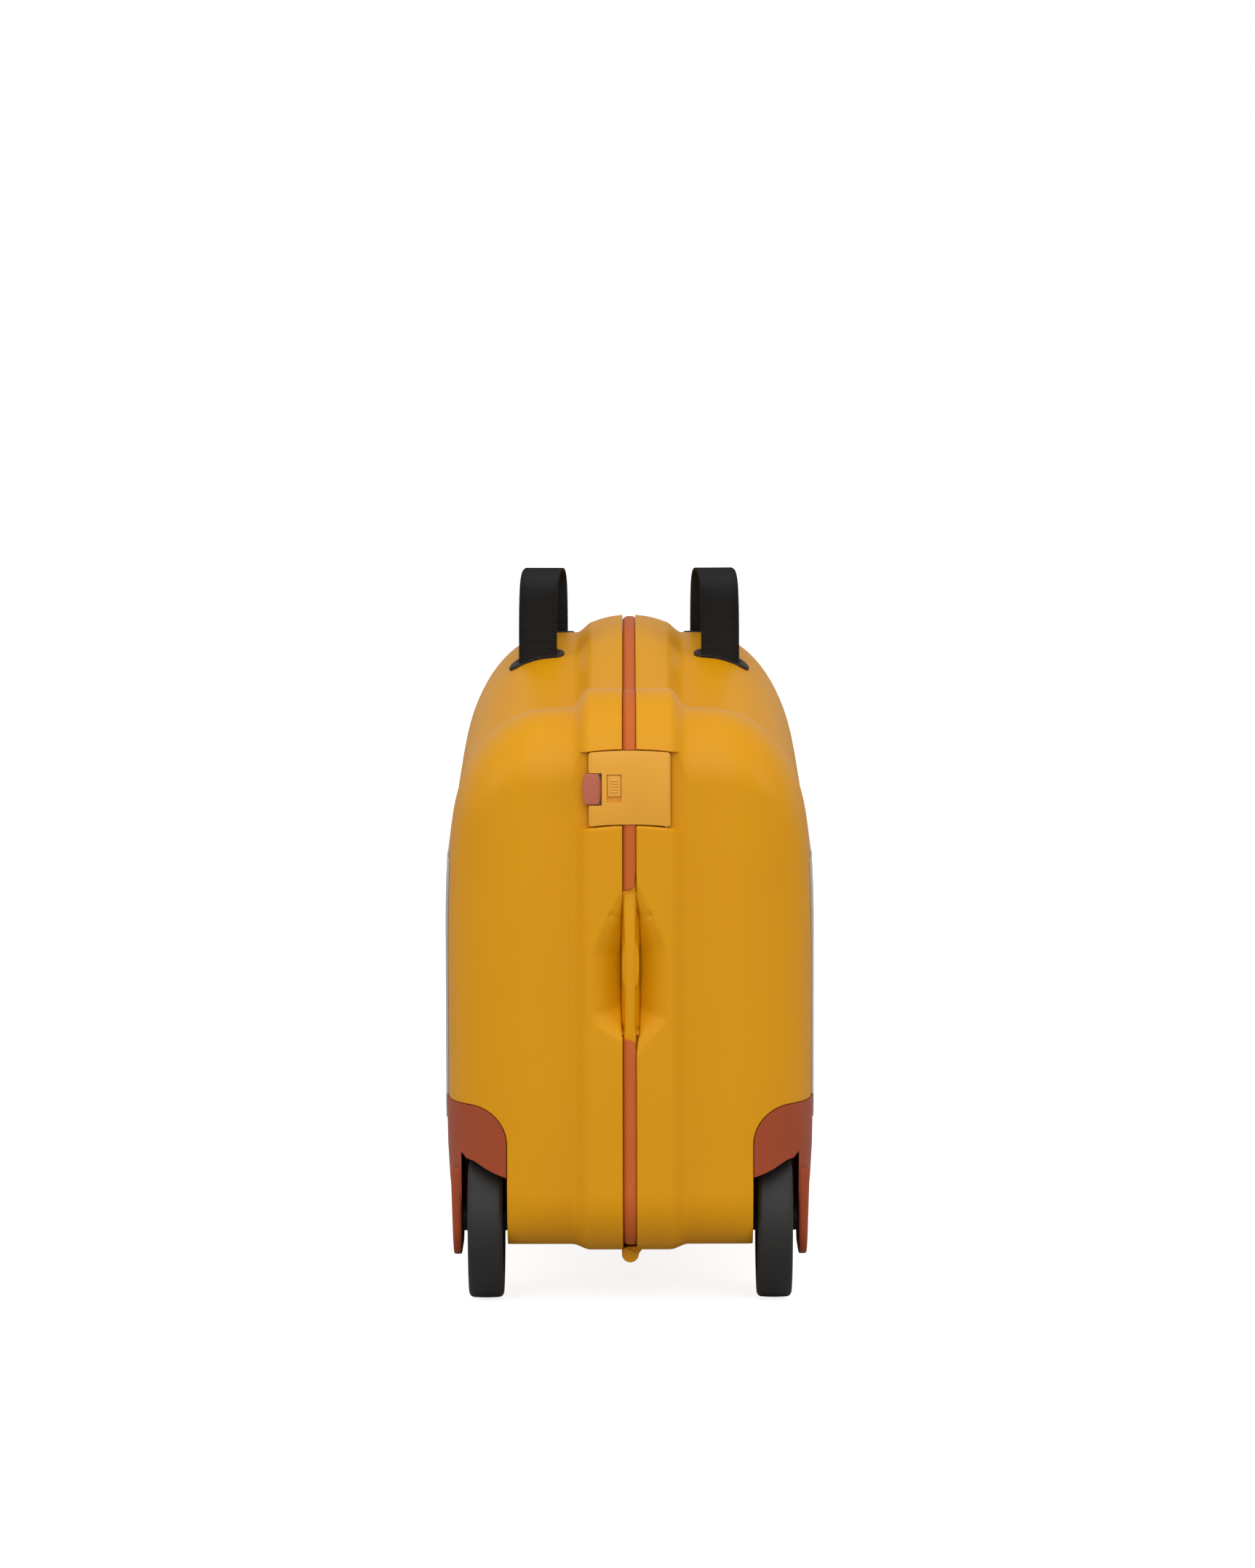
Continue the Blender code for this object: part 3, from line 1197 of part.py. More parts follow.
def loop_path(length, front_z, rear_z):
    """Centre line of the webbing loop in its own plane, from the front foot to the rear."""
    half = length / 2
    base = max(front_z, rear_z)
    power = 2 / LOOP_POWER
    height = LOOP_TOP_Z - WEBBING_THICKNESS / 2 - base
    points = [(-half, front_z - WALL - GAP)]
    for i in range(17):
        angle = math.pi * (1 - i / 16)
        across, up = math.cos(angle), math.sin(angle)
        points.append((half * math.copysign(abs(across) ** power, across), base + height * up ** power))
    points.append((half, rear_z - WALL - GAP))
    return [Vector(point) for point in points]


def band_outline(path, thickness):
    """A line given a thickness, as one closed outline."""
    upper, lower = [], []
    last = len(path) - 1
    for i, point in enumerate(path):
        run = (path[min(i + 1, last)] - path[max(i - 1, 0)]).normalized()
        side = Vector((-run.y, run.x)) * thickness / 2
        upper.append(tuple(point + side))
        lower.append(tuple(point - side))
    return upper + lower[::-1]


def add_grips(outers):
    """The webbing loops, their bezels and the bars that hold their ends."""
    for side_name, side in SIDES:
        half = side_name + "_half"
        outer = outers[side_name]
        inner = case_mesh("inner_wall", side, -WALL, LEFT_EDGE)
        middle, turn, length = loop_axis(side)
        feet = loop_feet(side)
        tops = [surface_under(outer, x, y) for x, y in feet]
        ceilings = [surface_under(inner, x, y, from_below=True)[0] for x, y in feet]
        path = loop_path(length, ceilings[0].z + WALL, ceilings[1].z + WALL)
        band = outline_mesh("webbing", band_outline(path, WEBBING_THICKNESS), WEBBING_WIDTH, "YZ")
        strap = add_object(side_name + "_strap", band, "webbing", half)
        strap.location = (middle.x, middle.y, 0)
        strap.rotation_euler = (0, 0, turn)
        skin = add_object(side_name + "_bezel_seat", case_mesh("bezel_seat", side, GAP, -BEYOND))
        for foot_name, (place, normal) in zip(("front", "rear"), tops):
            name = side_name + "_" + foot_name + "_bezel"
            radius = BEZEL_DEPTH / 2
            reach = BEZEL_WIDTH / 2 - radius
            outline = arc((reach, 0), (radius,) * 2, -90, 90, 8) + arc((-reach, 0), (radius,) * 2, 90, 270, 8)
            mesh = outline_mesh(name, outline, 2 * (BEZEL_PROUD + GAP), "XY")
            bezel = add_object(name, mesh, "bezel", half)
            bezel.location = place
            tilt = normal.to_track_quat("Z", "Y").to_matrix().to_4x4()
            slot_line = tilt.inverted() @ Vector((math.cos(turn), math.sin(turn), 0))
            spin = Matrix.Rotation(math.atan2(slot_line.y, slot_line.x), 4, "Z")
            bezel.rotation_euler = (tilt @ spin).to_euler()
            combine(bezel, skin)
            slot = cutter(name + "_slot", lambda bm: slot_box(bm, place, turn))
            combine(bezel, slot)
        across = Vector((math.cos(turn), math.sin(turn), 0)) * (WEBBING_WIDTH / 2 + BAR_OVERHANG)
        for foot_name, (x, y) in zip(("front", "rear"), feet):
            lowest = min(surface_under(inner, x + step * across.x, y + step * across.y, True)[0].z
                         for step in (-1, 0, 1))
            bm = bmesh.new()
            rod(bm, -across, across, BAR_RADIUS, sides=12)
            bar = add_object(side_name + "_" + foot_name + "_strap_bar",
                             finish_mesh("strap_bar", bm, smooth=40), "steel", half)
            bar.location = (x, y, lowest - GAP - BAR_RADIUS)


def slot_box(bm, place, turn):
    """The opening in a bezel, upright like the slot under it."""
    size = (WEBBING_WIDTH + 2 * SLOT_CLEARANCE, WEBBING_THICKNESS + 2 * SLOT_CLEARANCE, 2 * BEYOND)
    matrix = Matrix.Translation(place) @ Matrix.Rotation(turn, 4, "Z")
    bmesh.ops.create_cube(bm, size=1, matrix=matrix @ Matrix.Diagonal((*size, 1)))


def add_packing_belt():
    """A belt across the left half: two lengths of webbing that meet in a buckle."""
    inner = case_mesh("belt_wall", -1, -WALL, LEFT_EDGE)
    roof = min(surface_under(inner, BELT_X, BELT_Y + step * BELT_WIDTH / 2, True)[0].z
               for step in (-1, 0, 1))
    floor = UNDERSIDE_Z - RIDGE_LOW + WALL
    half_buckle = BUCKLE_LENGTH / 2
    runs = {"packing_belt_lower": (floor + GAP, BUCKLE_Z - half_buckle + BELT_TUCK),
            "packing_belt_upper": (BUCKLE_Z + half_buckle - BELT_TUCK, roof - GAP)}
    for name, (low, high) in runs.items():
        bm = bmesh.new()
        box(bm, (-BELT_THICKNESS / 2, -BELT_WIDTH / 2, -(high - low) / 2),
            (BELT_THICKNESS / 2, BELT_WIDTH / 2, (high - low) / 2))
        belt = add_object(name, finish_mesh(name, bm), "webbing", "left_half")
        belt.location = (BELT_X, BELT_Y, (low + high) / 2)
    bm = bmesh.new()
    box(bm, (-BUCKLE_THICKNESS / 2, -BUCKLE_WIDTH / 2, -half_buckle),
        (BUCKLE_THICKNESS / 2, BUCKLE_WIDTH / 2, half_buckle))
    buckle = add_object("packing_buckle", finish_mesh("packing_buckle", bm), "bezel", "left_half")
    buckle.location = (BELT_X, BELT_Y, BUCKLE_Z)
    mouth = (BELT_THICKNESS / 2 + GAP, BELT_WIDTH / 2 + GAP)
    combine(buckle, cutter("buckle_mouths", *[
        lambda bm, way=way: box(
            bm, (BELT_X - mouth[0], BELT_Y - mouth[1],
                 BUCKLE_Z + way * half_buckle - BELT_TUCK - GAP),
            (BELT_X + mouth[0], BELT_Y + mouth[1],
             BUCKLE_Z + way * half_buckle + BELT_TUCK + GAP)) for way in (-1, 1)]))


def build():
    """Make the whole suitcase."""
    pivot("left_half", (0, 0, HINGE_Z))
    pivot("right_half", (0, 0, HINGE_Z))
    left = add_shell("left", -1, LEFT_EDGE)
    right = add_shell("right", 1, RIGHT_EDGE)
    add_grip(right)
    add_latch_bores(right)
    add_hinge_pin()
    add_strips()
    add_side_panels()
    add_brackets()
    add_wheels()
    add_casters()
    for end_name, end in ENDS:
        add_latch(end_name, end)
    add_grips({"left": left.data, "right": right.data})
    add_packing_belt()


build()
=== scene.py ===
"""Looks of a child's ride-on suitcase: moulded shells, latches, wheels and webbing grips.

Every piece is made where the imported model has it, in metres, +Y towards the webbing grips.
"""

import math

import bmesh
import bpy
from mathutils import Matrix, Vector
from mathutils.bvhtree import BVHTree


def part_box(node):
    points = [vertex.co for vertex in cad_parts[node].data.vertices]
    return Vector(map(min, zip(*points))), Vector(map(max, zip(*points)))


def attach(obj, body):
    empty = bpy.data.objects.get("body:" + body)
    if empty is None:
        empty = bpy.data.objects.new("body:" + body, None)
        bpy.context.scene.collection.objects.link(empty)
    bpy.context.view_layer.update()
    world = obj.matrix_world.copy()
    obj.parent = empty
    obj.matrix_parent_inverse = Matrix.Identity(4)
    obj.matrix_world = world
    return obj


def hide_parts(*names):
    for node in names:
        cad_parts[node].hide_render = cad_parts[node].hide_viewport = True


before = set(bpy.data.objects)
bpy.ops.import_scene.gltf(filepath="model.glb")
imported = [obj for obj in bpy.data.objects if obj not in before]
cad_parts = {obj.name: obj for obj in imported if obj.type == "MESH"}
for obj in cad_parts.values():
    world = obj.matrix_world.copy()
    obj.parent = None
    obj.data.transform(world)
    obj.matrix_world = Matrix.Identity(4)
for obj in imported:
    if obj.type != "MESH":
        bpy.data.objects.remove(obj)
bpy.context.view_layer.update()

# Case outline, seen from the side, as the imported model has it
CASE_LENGTH = 0.510
UNDERSIDE_Z = 0.0343
NEAR_CREST_Z = 0.3407
SADDLE_Z = 0.314
SADDLE_Y = -0.055
FRONT_CREST_Z = 0.3597
FRONT_CREST_Y = 0.150
NEAR_TOP_RADIUS = 0.040
FAR_TOP_DROP = 0.095
BASE_RADIUS = 0.033

# Case section, seen from the end
PANEL_SPAN = 0.220
WALL = 0.0028
SHOULDER_REACH = 0.062
END_REACH = 0.050
BASE_REACH = 0.032
CHEEK_REACH = 0.006
TOP_BULGE = 0.008
SIDE_BULGE = 0.006
SHOULDER_POWER = 2.5
END_POWER = 2.1
BASE_POWER = 2.0
SHOULDER_SHARE = 0.78
END_SHARE = 0.65
BASE_SHARE = 0.52
FLAT_END = 0.140
FLAT_LOW = 0.130
FLAT_HIGH = 0.170
FLAT_RADIUS = 0.030
PANEL_THICKNESS = 0.0009
PANEL_TOP_Z = 0.2527
GAP = 0.0003

# Raised band along the seam and the strip in it
RIDGE_TOP = 0.011
RIDGE_END = 0.008
RIDGE_LOW = 0.003
RIDGE_CROWN = 0.0224
RIDGE_FOOT = 0.0335
SEAM_ROUND = 0.0007
STRIP_SINK = 0.0008
RIGHT_EDGE = 0.0038
LEFT_EDGE = 0.0041

# Hinge, recess, wells and latches
HINGE_Z = 0.029
KNUCKLE_RADIUS = 0.00485
RECESS_LOW = 0.1450
RECESS_HIGH = 0.2490
RECESS_DEPTH = 0.0190
RECESS_RIM = 0.0016
WHEEL_RADIUS = 0.046
WHEEL_WIDTH = 0.0200
WHEEL_X = 0.0825
WHEEL_Y = -0.193
WELL_SIDE_GAP = 0.0027
WELL_ROUND_GAP = 0.0045
BRACKET_TOP_Z = 0.1165
BRACKET_BACK = 0.0035
BRACKET_CORNER = 0.021
BRACKET_FIT = 0.0004
BRACKET_PROUD = 0.0006
CHEEK_GAP = 0.0037
HOOD_INNER_Z = 0.0750
CASTER_X = 0.067
CASTER_Y = 0.185
CASTER_WELL = 0.0354
CASTER_TOP = 0.0603
LATCH_HEIGHTS = {"near": 0.2989, "far": 0.2380}
LATCH_HEIGHT = 0.0430
LATCH_HALF = 0.0232
PLATE_THICKNESS = 0.0056
NOTCH_HALF = 0.0351

PLATE_SINK = 0.0002
POCKET_GAP = 0.00014
SLIDER_X = -0.00855
BUTTON_OUTER_X = -0.0264
BUTTON_INNER_X = -0.0158
BUTTON_HALF = 0.00865
HINGE_BORE = 0.0019
RUN_GAP = 0.0006

# Shape of the recess's slope, the domed far crest and the notches' rounded lips
RECESS_SLOPE = 0.82
RECESS_SOFT = 0.0030
CREST_DOME = 0.0042
NOTCH_LIP = 0.0014

# Fin handle: its middle, the free gap behind it, its bow and its two pads
GRIP_MIDDLE_Z = 0.200
GRIP_HALF_GAP = 0.024
GRIP_GAP_DEPTH = 0.0136
GRIP_BOW = 0.0030
PAD_Z = 0.1988
PAD_HALF = 0.0128

# Skirt of the corner cover, and the lower edge of its hood as width and height
SKIRT_NEAR = 0.0245
SKIRT_FAR = 0.0430
SKIRT_LOW_Z = 0.0265
SKIRT_TOP_Z = 0.0780
SKIRT_CORNER = 0.0150
SKIRT_SLANT = 0.03
HOOD_EDGE = [(0.0713, 0.0768), (0.0770, 0.0785), (0.0819, 0.0806), (0.0860, 0.0829), (0.0895, 0.0846),
             (0.0925, 0.0852), (0.0945, 0.0846), (0.0955, 0.0830)]

# Flanks draw in towards the ends: slope, where it starts, how softly, and its fades
TAPER = 0.031
TAPER_START = 0.045
TAPER_SOFT = 0.020
TAPER_FADE_X = (0.045, 0.095)
TAPER_FADE_Z = (0.235, 0.315)

# Casters
CASTER_TRAIL = 0.010
CASTER_RADIUS = 0.020
CASTER_FORK_Z = 0.0425

# Webbing loops, their slots and bezels, and the packing belt
WEBBING_WIDTH = 0.0240
WEBBING_THICKNESS = 0.0022
LOOP_TOP_Z = 0.4015
SLOT_WIDTH = 0.025
SLOT_THICKNESS = 0.0032
BEZEL_LENGTH = 0.03350
BEZEL_RADIUS = 0.0055
BELT_WIDTH = 0.0250
BELT_THICKNESS = 0.0015
RIB_PITCH = 0.0013
RIB_DEPTH = 0.00022

HALF_LENGTH = CASE_LENGTH / 2
END_Y = HALF_LENGTH - RIDGE_END
HALF_WIDTH = PANEL_SPAN / 2 - PANEL_THICKNESS - GAP
BEYOND = 0.020
SIDES = (("left", -1), ("right", 1))
ENDS = (("near", -1), ("far", 1))


def leave_edit():
    """Back to object mode with nothing selected."""
    if bpy.context.object and bpy.context.object.mode != "OBJECT":
        bpy.ops.object.mode_set(mode="OBJECT")
    bpy.ops.object.select_all(action="DESELECT")


def named(name):
    """Name the primitive that was just added."""
    piece = bpy.context.object
    piece.name = name
    piece.data.name = name
    return piece


def settle(piece):
    """Put a piece's place, turn and size into its mesh."""
    leave_edit()
    bpy.context.view_layer.objects.active = piece
    piece.select_set(True)
    bpy.ops.object.transform_apply(location=True, rotation=True, scale=True)
    piece.select_set(False)
    return piece


def block(name, low, high):
    """A box between two corners."""
    leave_edit()
    low, high = Vector(low), Vector(high)
    bpy.ops.mesh.primitive_cube_add(size=1, location=(low + high) / 2)
    piece = named(name)
    piece.scale = high - low
    return settle(piece)


def bar(name, start, end, radius, sides=48):
    """A round bar between two points."""
    leave_edit()
    start, end = Vector(start), Vector(end)
    bpy.ops.mesh.primitive_cylinder_add(vertices=sides, radius=radius, depth=(end - start).length,
                                        location=(start + end) / 2)
    piece = named(name)
    piece.rotation_euler = (end - start).to_track_quat("Z", "Y").to_euler()
    return settle(piece)


def drawn_out(name, rings, looped=False):
    """Extrude a circle ring by ring, each ring set to its own points."""
    leave_edit()
    count = len(rings[0])
    bpy.ops.mesh.primitive_circle_add(vertices=count, radius=0.1, fill_type="NOTHING")
    piece = named(name)
    bpy.ops.object.mode_set(mode="EDIT")
    bpy.ops.mesh.select_mode(type="VERT")
    bpy.ops.mesh.select_all(action="SELECT")
    form = bmesh.from_edit_mesh(piece.data)
    form.verts.ensure_lookup_table()
    ring = [0]
    while len(ring) < count:
        vert = form.verts[ring[-1]]
        near = [edge.other_vert(vert).index for edge in vert.link_edges]
        ring.append(near[0] if near[0] not in ring[-2:] else near[1])
    first = ring
    for index, place in zip(ring, rings[0]):
        form.verts[index].co = place
    for places in rings[1:]:
        bpy.ops.mesh.extrude_edges_move()
        form = bmesh.from_edit_mesh(piece.data)
        form.verts.index_update()
        form.verts.ensure_lookup_table()
        following = []
        for index, place in zip(ring, places):
            vert = form.verts[index]
            new = next(other for other in (edge.other_vert(vert) for edge in vert.link_edges)
                       if other.select)
            new.co = place
            following.append(new.index)
        ring = following
    if not looped:
        bpy.ops.mesh.edge_face_add()
        bpy.ops.mesh.select_all(action="DESELECT")
        form = bmesh.from_edit_mesh(piece.data)
        form.verts.ensure_lookup_table()
        for index in first:
            form.verts[index].select = True
        form.select_flush(True)
        bpy.ops.mesh.edge_face_add()
    bpy.ops.mesh.select_all(action="SELECT")
    if looped:
        bpy.ops.mesh.remove_doubles(threshold=0.000002)
    bpy.ops.mesh.normals_make_consistent(inside=False)
    leave_edit()
    return settle(piece)


def turned(name, centre, profile, steps, along="X"):
    """A turned piece: rings of a profile's radius and height round an axis."""
    centre = Vector(centre)
    rings = []
    for radius, height in profile:
        ring = []
        for i in range(steps):
            angle = 2 * math.pi * i / steps
            a, b = radius * math.cos(angle), radius * math.sin(angle)
            place = Vector((height, a, b)) if along == "X" else Vector((a, b, height))
            ring.append(centre + place)
        rings.append(ring)
    rings.append(rings[0])
    return drawn_out(name, rings, looped=True)


def prism(name, outline, low, high, plane="YZ"):
    """A flat outline extruded between two levels across its plane."""
    order = {"YZ": lambda a, b, c: Vector((c, a, b)), "XZ": lambda a, b, c: Vector((a, c, b)),
             "XY": lambda a, b, c: Vector((a, b, c))}[plane]
    return drawn_out(name, [[order(a, b, level) for a, b in outline] for level in (low, high)])


def cut(piece, tool, operation="DIFFERENCE"):
    """Apply a Boolean with a tool and throw the tool away."""
    leave_edit()
    bpy.context.view_layer.objects.active = piece
    step = piece.modifiers.new("cut", "BOOLEAN")
    step.operation = operation
    step.object = tool
    step.solver = "MANIFOLD"
    bpy.ops.object.modifier_apply(modifier=step.name)
    bpy.data.objects.remove(tool)
    return piece


def joined(name, pieces):
    """Several separate solids as one object."""
    leave_edit()
    for piece in pieces:
        piece.select_set(True)
    bpy.context.view_layer.objects.active = pieces[0]
    bpy.ops.object.join()
    whole = named(name)
    leave_edit()
    return whole


def smooth(piece, degrees=35):
    """Shade a piece smooth with sharp edges kept."""
    leave_edit()
    bpy.context.view_layer.objects.active = piece
    piece.select_set(True)
    bpy.ops.object.shade_smooth_by_angle(angle=math.radians(degrees))
    piece.select_set(False)
    return piece


def hand_over(piece, degrees, body, slot, node=None, finish=None):
    """Shade a finished piece, hang it on its body, hide the node it stands for and list it under its
    finish.
    """
    smooth(piece, degrees)
    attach(piece, body)
    if node:
        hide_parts(node)
    pieces[finish or slot].append(piece)
    return piece


def ease(piece, width, segments=3, degrees=40):
    """Round a piece's edges with a Bevel that is applied."""
    leave_edit()
    bpy.context.view_layer.objects.active = piece
    step = piece.modifiers.new("ease", "BEVEL")
    step.width = width
    step.segments = segments
    step.limit_method = "ANGLE"
    step.angle_limit = math.radians(degrees)
    bpy.ops.object.modifier_apply(modifier=step.name)
    return piece


def arc(centre, radii, start, stop, steps):
    """Points along part of an ellipse, angles in degrees."""
    points = []
    for i in range(steps + 1):
        angle = math.radians(start + (stop - start) * i / steps)
        points.append((centre[0] + radii[0] * math.cos(angle),
                       centre[1] + radii[1] * math.sin(angle)))
    return points


def wave(start, end, steps):
    """Points from one level to another along half a cosine, without the first."""
    points = []
    for i in range(1, steps + 1):
        share = i / steps
        lift = (1 - math.cos(math.pi * share)) / 2
        points.append((start[0] + (end[0] - start[0]) * share,
                       start[1] + (end[1] - start[1]) * lift))
    return points


def line(start, end, steps):
    """Points along a straight line, without its ends."""
    return [(start[0] + (end[0] - start[0]) * i / steps, start[1] + (end[1] - start[1]) * i / steps)
            for i in range(1, steps)]


def shoulder_outline():
    """The case seen from the side without its ridge, clockwise from the near end's top."""
    near = -END_Y + NEAR_TOP_RADIUS
    base = UNDERSIDE_Z + BASE_RADIUS
    far_arc_z = FRONT_CREST_Z - FAR_TOP_DROP
    points = arc((near, NEAR_CREST_Z - NEAR_TOP_RADIUS), (NEAR_TOP_RADIUS,) * 2, 180, 90, 26)
    points += wave((near, NEAR_CREST_Z), (SADDLE_Y, SADDLE_Z), 38)
    points += wave((SADDLE_Y, SADDLE_Z), (FRONT_CREST_Y, FRONT_CREST_Z), 52)
    points += arc((FRONT_CREST_Y, far_arc_z), (END_Y - FRONT_CREST_Y, FAR_TOP_DROP), 90, 0, 40)[1:]
    points += line((END_Y, far_arc_z), (END_Y, base), 40)
    points += arc((END_Y - BASE_RADIUS, base), (BASE_RADIUS,) * 2, 0, -90, 16)
    points += line((END_Y - BASE_RADIUS, UNDERSIDE_Z), (BASE_RADIUS - END_Y, UNDERSIDE_Z), 60)
    points += arc((BASE_RADIUS - END_Y, base), (BASE_RADIUS,) * 2, -90, -180, 16)
    points += line((-END_Y, base), (-END_Y, NEAR_CREST_Z - NEAR_TOP_RADIUS), 156)
    return [Vector(point) for point in points]


def outline_stations():
    """Each point of the shoulder outline with its outward normal."""
    points = shoulder_outline()
    count = len(points)
    found = []
    for i, point in enumerate(points):
        run = (points[(i + 1) % count] - points[i - 1]).normalized()
        found.append((point, Vector((-run.y, run.x))))
    return found


STATIONS = outline_stations()


def blend(normal, top, end, low):
    """A value that changes smoothly from the case's top to its ends and its underside."""
    up = max(normal.y, 0) ** 2
    down = max(-normal.y, 0) ** 2
    return top * up + end * normal.x ** 2 + low * down


def flat_target(point, normal):
    """Where the rounding of the side ends, round the flat middle of the side face."""
    core = Vector((max(-FLAT_END, min(FLAT_END, point.x)),
                   max(FLAT_LOW, min(FLAT_HIGH, point.y))))
    return core + normal * FLAT_RADIUS


# Half widths of the finger recess by height, which differ a little on the two sides
RECESS_SPANS = {
    -1: ((0.1530, 0), (0.1557, 0.0039), (0.1590, 0.0105), (0.1630, 0.0171), (0.1690, 0.0221),
         (0.2050, 0.0221), (0.2089, 0.0211), (0.2182, 0.0171), (0.2288, 0.0118), (0.2375, 0.0079),
         (0.2411, 0.0039), (0.2435, 0)),
    1: ((0.1450, 0), (0.1464, 0.0047), (0.1537, 0.0087), (0.1597, 0.0141), (0.1650, 0.0200),
        (0.1677, 0.0217), (0.2062, 0.0217), (0.2115, 0.0207), (0.2188, 0.0173), (0.2288, 0.0127),
        (0.2388, 0.0081), (0.2468, 0.0047), (0.2490, 0)),
}


def recess_half(z, grow, side):
    """Half the recess's width at a height, with its corners evened out."""
    total = 0
    for shift in (-0.0022, -0.0011, 0, 0.0011, 0.0022):
        level = z + shift
        for (low, first), (high, last) in zip(RECESS_SPANS[side], RECESS_SPANS[side][1:]):
            if low <= level <= high:
                total += first + (last - first) * (level - low) / (high - low) + grow
    return total / 5


def recess_rim(side):
    """The recess's rim as points, for the distance to it."""
    return [Vector((recess_half(0.1430 + 0.0011 * i, 0, side), 0.1430 + 0.0011 * i)) for i in range(100)]


RIMS = {side: recess_rim(side) for side in (-1, 1)}


def recess_depth(x, z, grow, side):
    """How far the finger recess sinks the near end: an even slope from a soft rim to the floor."""
    if x >= recess_half(z, grow, side):
        return 0
    place = Vector((x, z))
    inward = min((place - point).length for point in RIMS[side]) + grow
    slope = RECESS_SLOPE * (math.sqrt(inward ** 2 + RECESS_RIM ** 2) - RECESS_RIM)
    return (slope + RECESS_DEPTH - math.sqrt((slope - RECESS_DEPTH) ** 2 + RECESS_SOFT ** 2)) / 2 + (
        math.sqrt(RECESS_DEPTH ** 2 + RECESS_SOFT ** 2) - RECESS_DEPTH) / 2


def eased(value, low, high):
    """A smooth rise from 0 to 1 between two values."""
    share = max(0, min(1, (value - low) / (high - low)))
    return share * share * (3 - 2 * share)


def seam_opening(z, side):
    """How far a shell's seam edge draws back inside the finger recess."""
    return (0.0007 if side < 0 else 0.0018) * eased(recess_half(z, 0, side), 0.0070, 0.0150)


def drawn_in(x, y, z):
    """A flank's width at a place: the flanks draw in a little towards both ends, below the shoulder."""
    past = abs(y) - TAPER_START
    taper = TAPER * (math.sqrt(past ** 2 + TAPER_SOFT ** 2) + past) / 2
    return x - taper * eased(x, *TAPER_FADE_X) * (1 - eased(z, *TAPER_FADE_Z))


def section(point, normal, grow, edge, base_reach, fine, side):
    """The case's section at one station, from the seam out to the side, as x, y, z."""
    ridge = blend(normal, RIDGE_TOP, RIDGE_END, RIDGE_LOW)
    shift = grow * math.tan(math.pi / 8)
    crown, foot = RIDGE_CROWN + shift, RIDGE_FOOT + shift
    at_recess = normal.x < -0.99 and RECESS_LOW - WALL < point.y < RECESS_HIGH + WALL
    widened = max(-grow, 0) * 0.4
    marks = []
    if at_recess and edge > 0:
        edge += seam_opening(point.y, side)
    if fine:
        for i in range(4):
            angle = math.pi / 6 * i
            marks.append((edge + SEAM_ROUND * (1 - math.cos(angle)),
                          ridge - SEAM_ROUND * (1 - math.sin(angle))))
        inner_rows, outer_rows, flank_rows = 10, 4, 12
    else:
        marks.append((edge, ridge))
        inner_rows, outer_rows, flank_rows = 5, 2, 5
    begin = max(edge, -0.001) + SEAM_ROUND
    bend = (begin + crown) * 0.6
    if at_recess:
        bend = max(begin + 0.0012, min(recess_half(point.y, widened, side), crown - 0.0003))
    dome = CREST_DOME * max(normal.y, 0) ** 2 * eased(point.x, -0.02, 0.12)
    for first, last, count in ((begin, bend, inner_rows), (bend, crown, outer_rows)):
        for i in range(1, count + 1):
            width = first + (last - first) * i / count
            marks.append((width, ridge - dome * abs(width / crown) ** 2.2))
    for i in range(1, flank_rows + 1):
        share = i / flank_rows
        marks.append((crown + (foot - crown) * share,
                      (ridge - dome) * (1 + math.cos(math.pi * share ** (1 - 25 * dome))) / 2))
    rows = []
    for width, lift in marks:
        place = point + normal * (lift + grow)
        sink = recess_depth(width, point.y, widened, side) if at_recess else 0
        rows.append((width, place.x + sink, place.y))
    power = blend(normal, SHOULDER_POWER, END_POWER, BASE_POWER)
    share = blend(normal, SHOULDER_SHARE, END_SHARE, BASE_SHARE)
    reach = blend(normal, SHOULDER_REACH, END_REACH, base_reach) + grow
    bulge = blend(normal, TOP_BULGE, SIDE_BULGE, SIDE_BULGE)
    start = point + normal * grow
    run = flat_target(point, normal) - start
    first = HALF_WIDTH + grow - bulge - reach
    for i in range(1, 3):
        rows.append((foot + (first - foot) * i / 3, start.x, start.y))
    depths = []
    steps = 22 if fine else 10
    for i in range(steps + 1):
        angle = math.pi / 2 * i / steps
        depths.append((share * (1 - math.cos(angle) ** (2 / power)),
                       reach * (1 - math.sin(angle) ** (2 / power))))
    depths += [((share + 1) / 2, 0), (1, 0)]
    for depth, fall in depths:
        place = start + run * depth
        width = HALF_WIDTH + grow - bulge * (1 - depth) ** 2 - fall
        rows.append((drawn_in(width, place.x, place.y), place.x, place.y))
    return rows


def case_form(name, side, grow, edge, base_reach=BASE_REACH, fine=True):
    """One half of the case as a closed form, grown outwards or inwards by a wall."""
    columns = [section(point, normal, grow, edge, base_reach, fine, side) for point, normal in STATIONS]
    rings = [[Vector((side * column[i][0], column[i][1], column[i][2])) for column in columns]
             for i in range(len(columns[0]))]
    return drawn_out(name, rings)


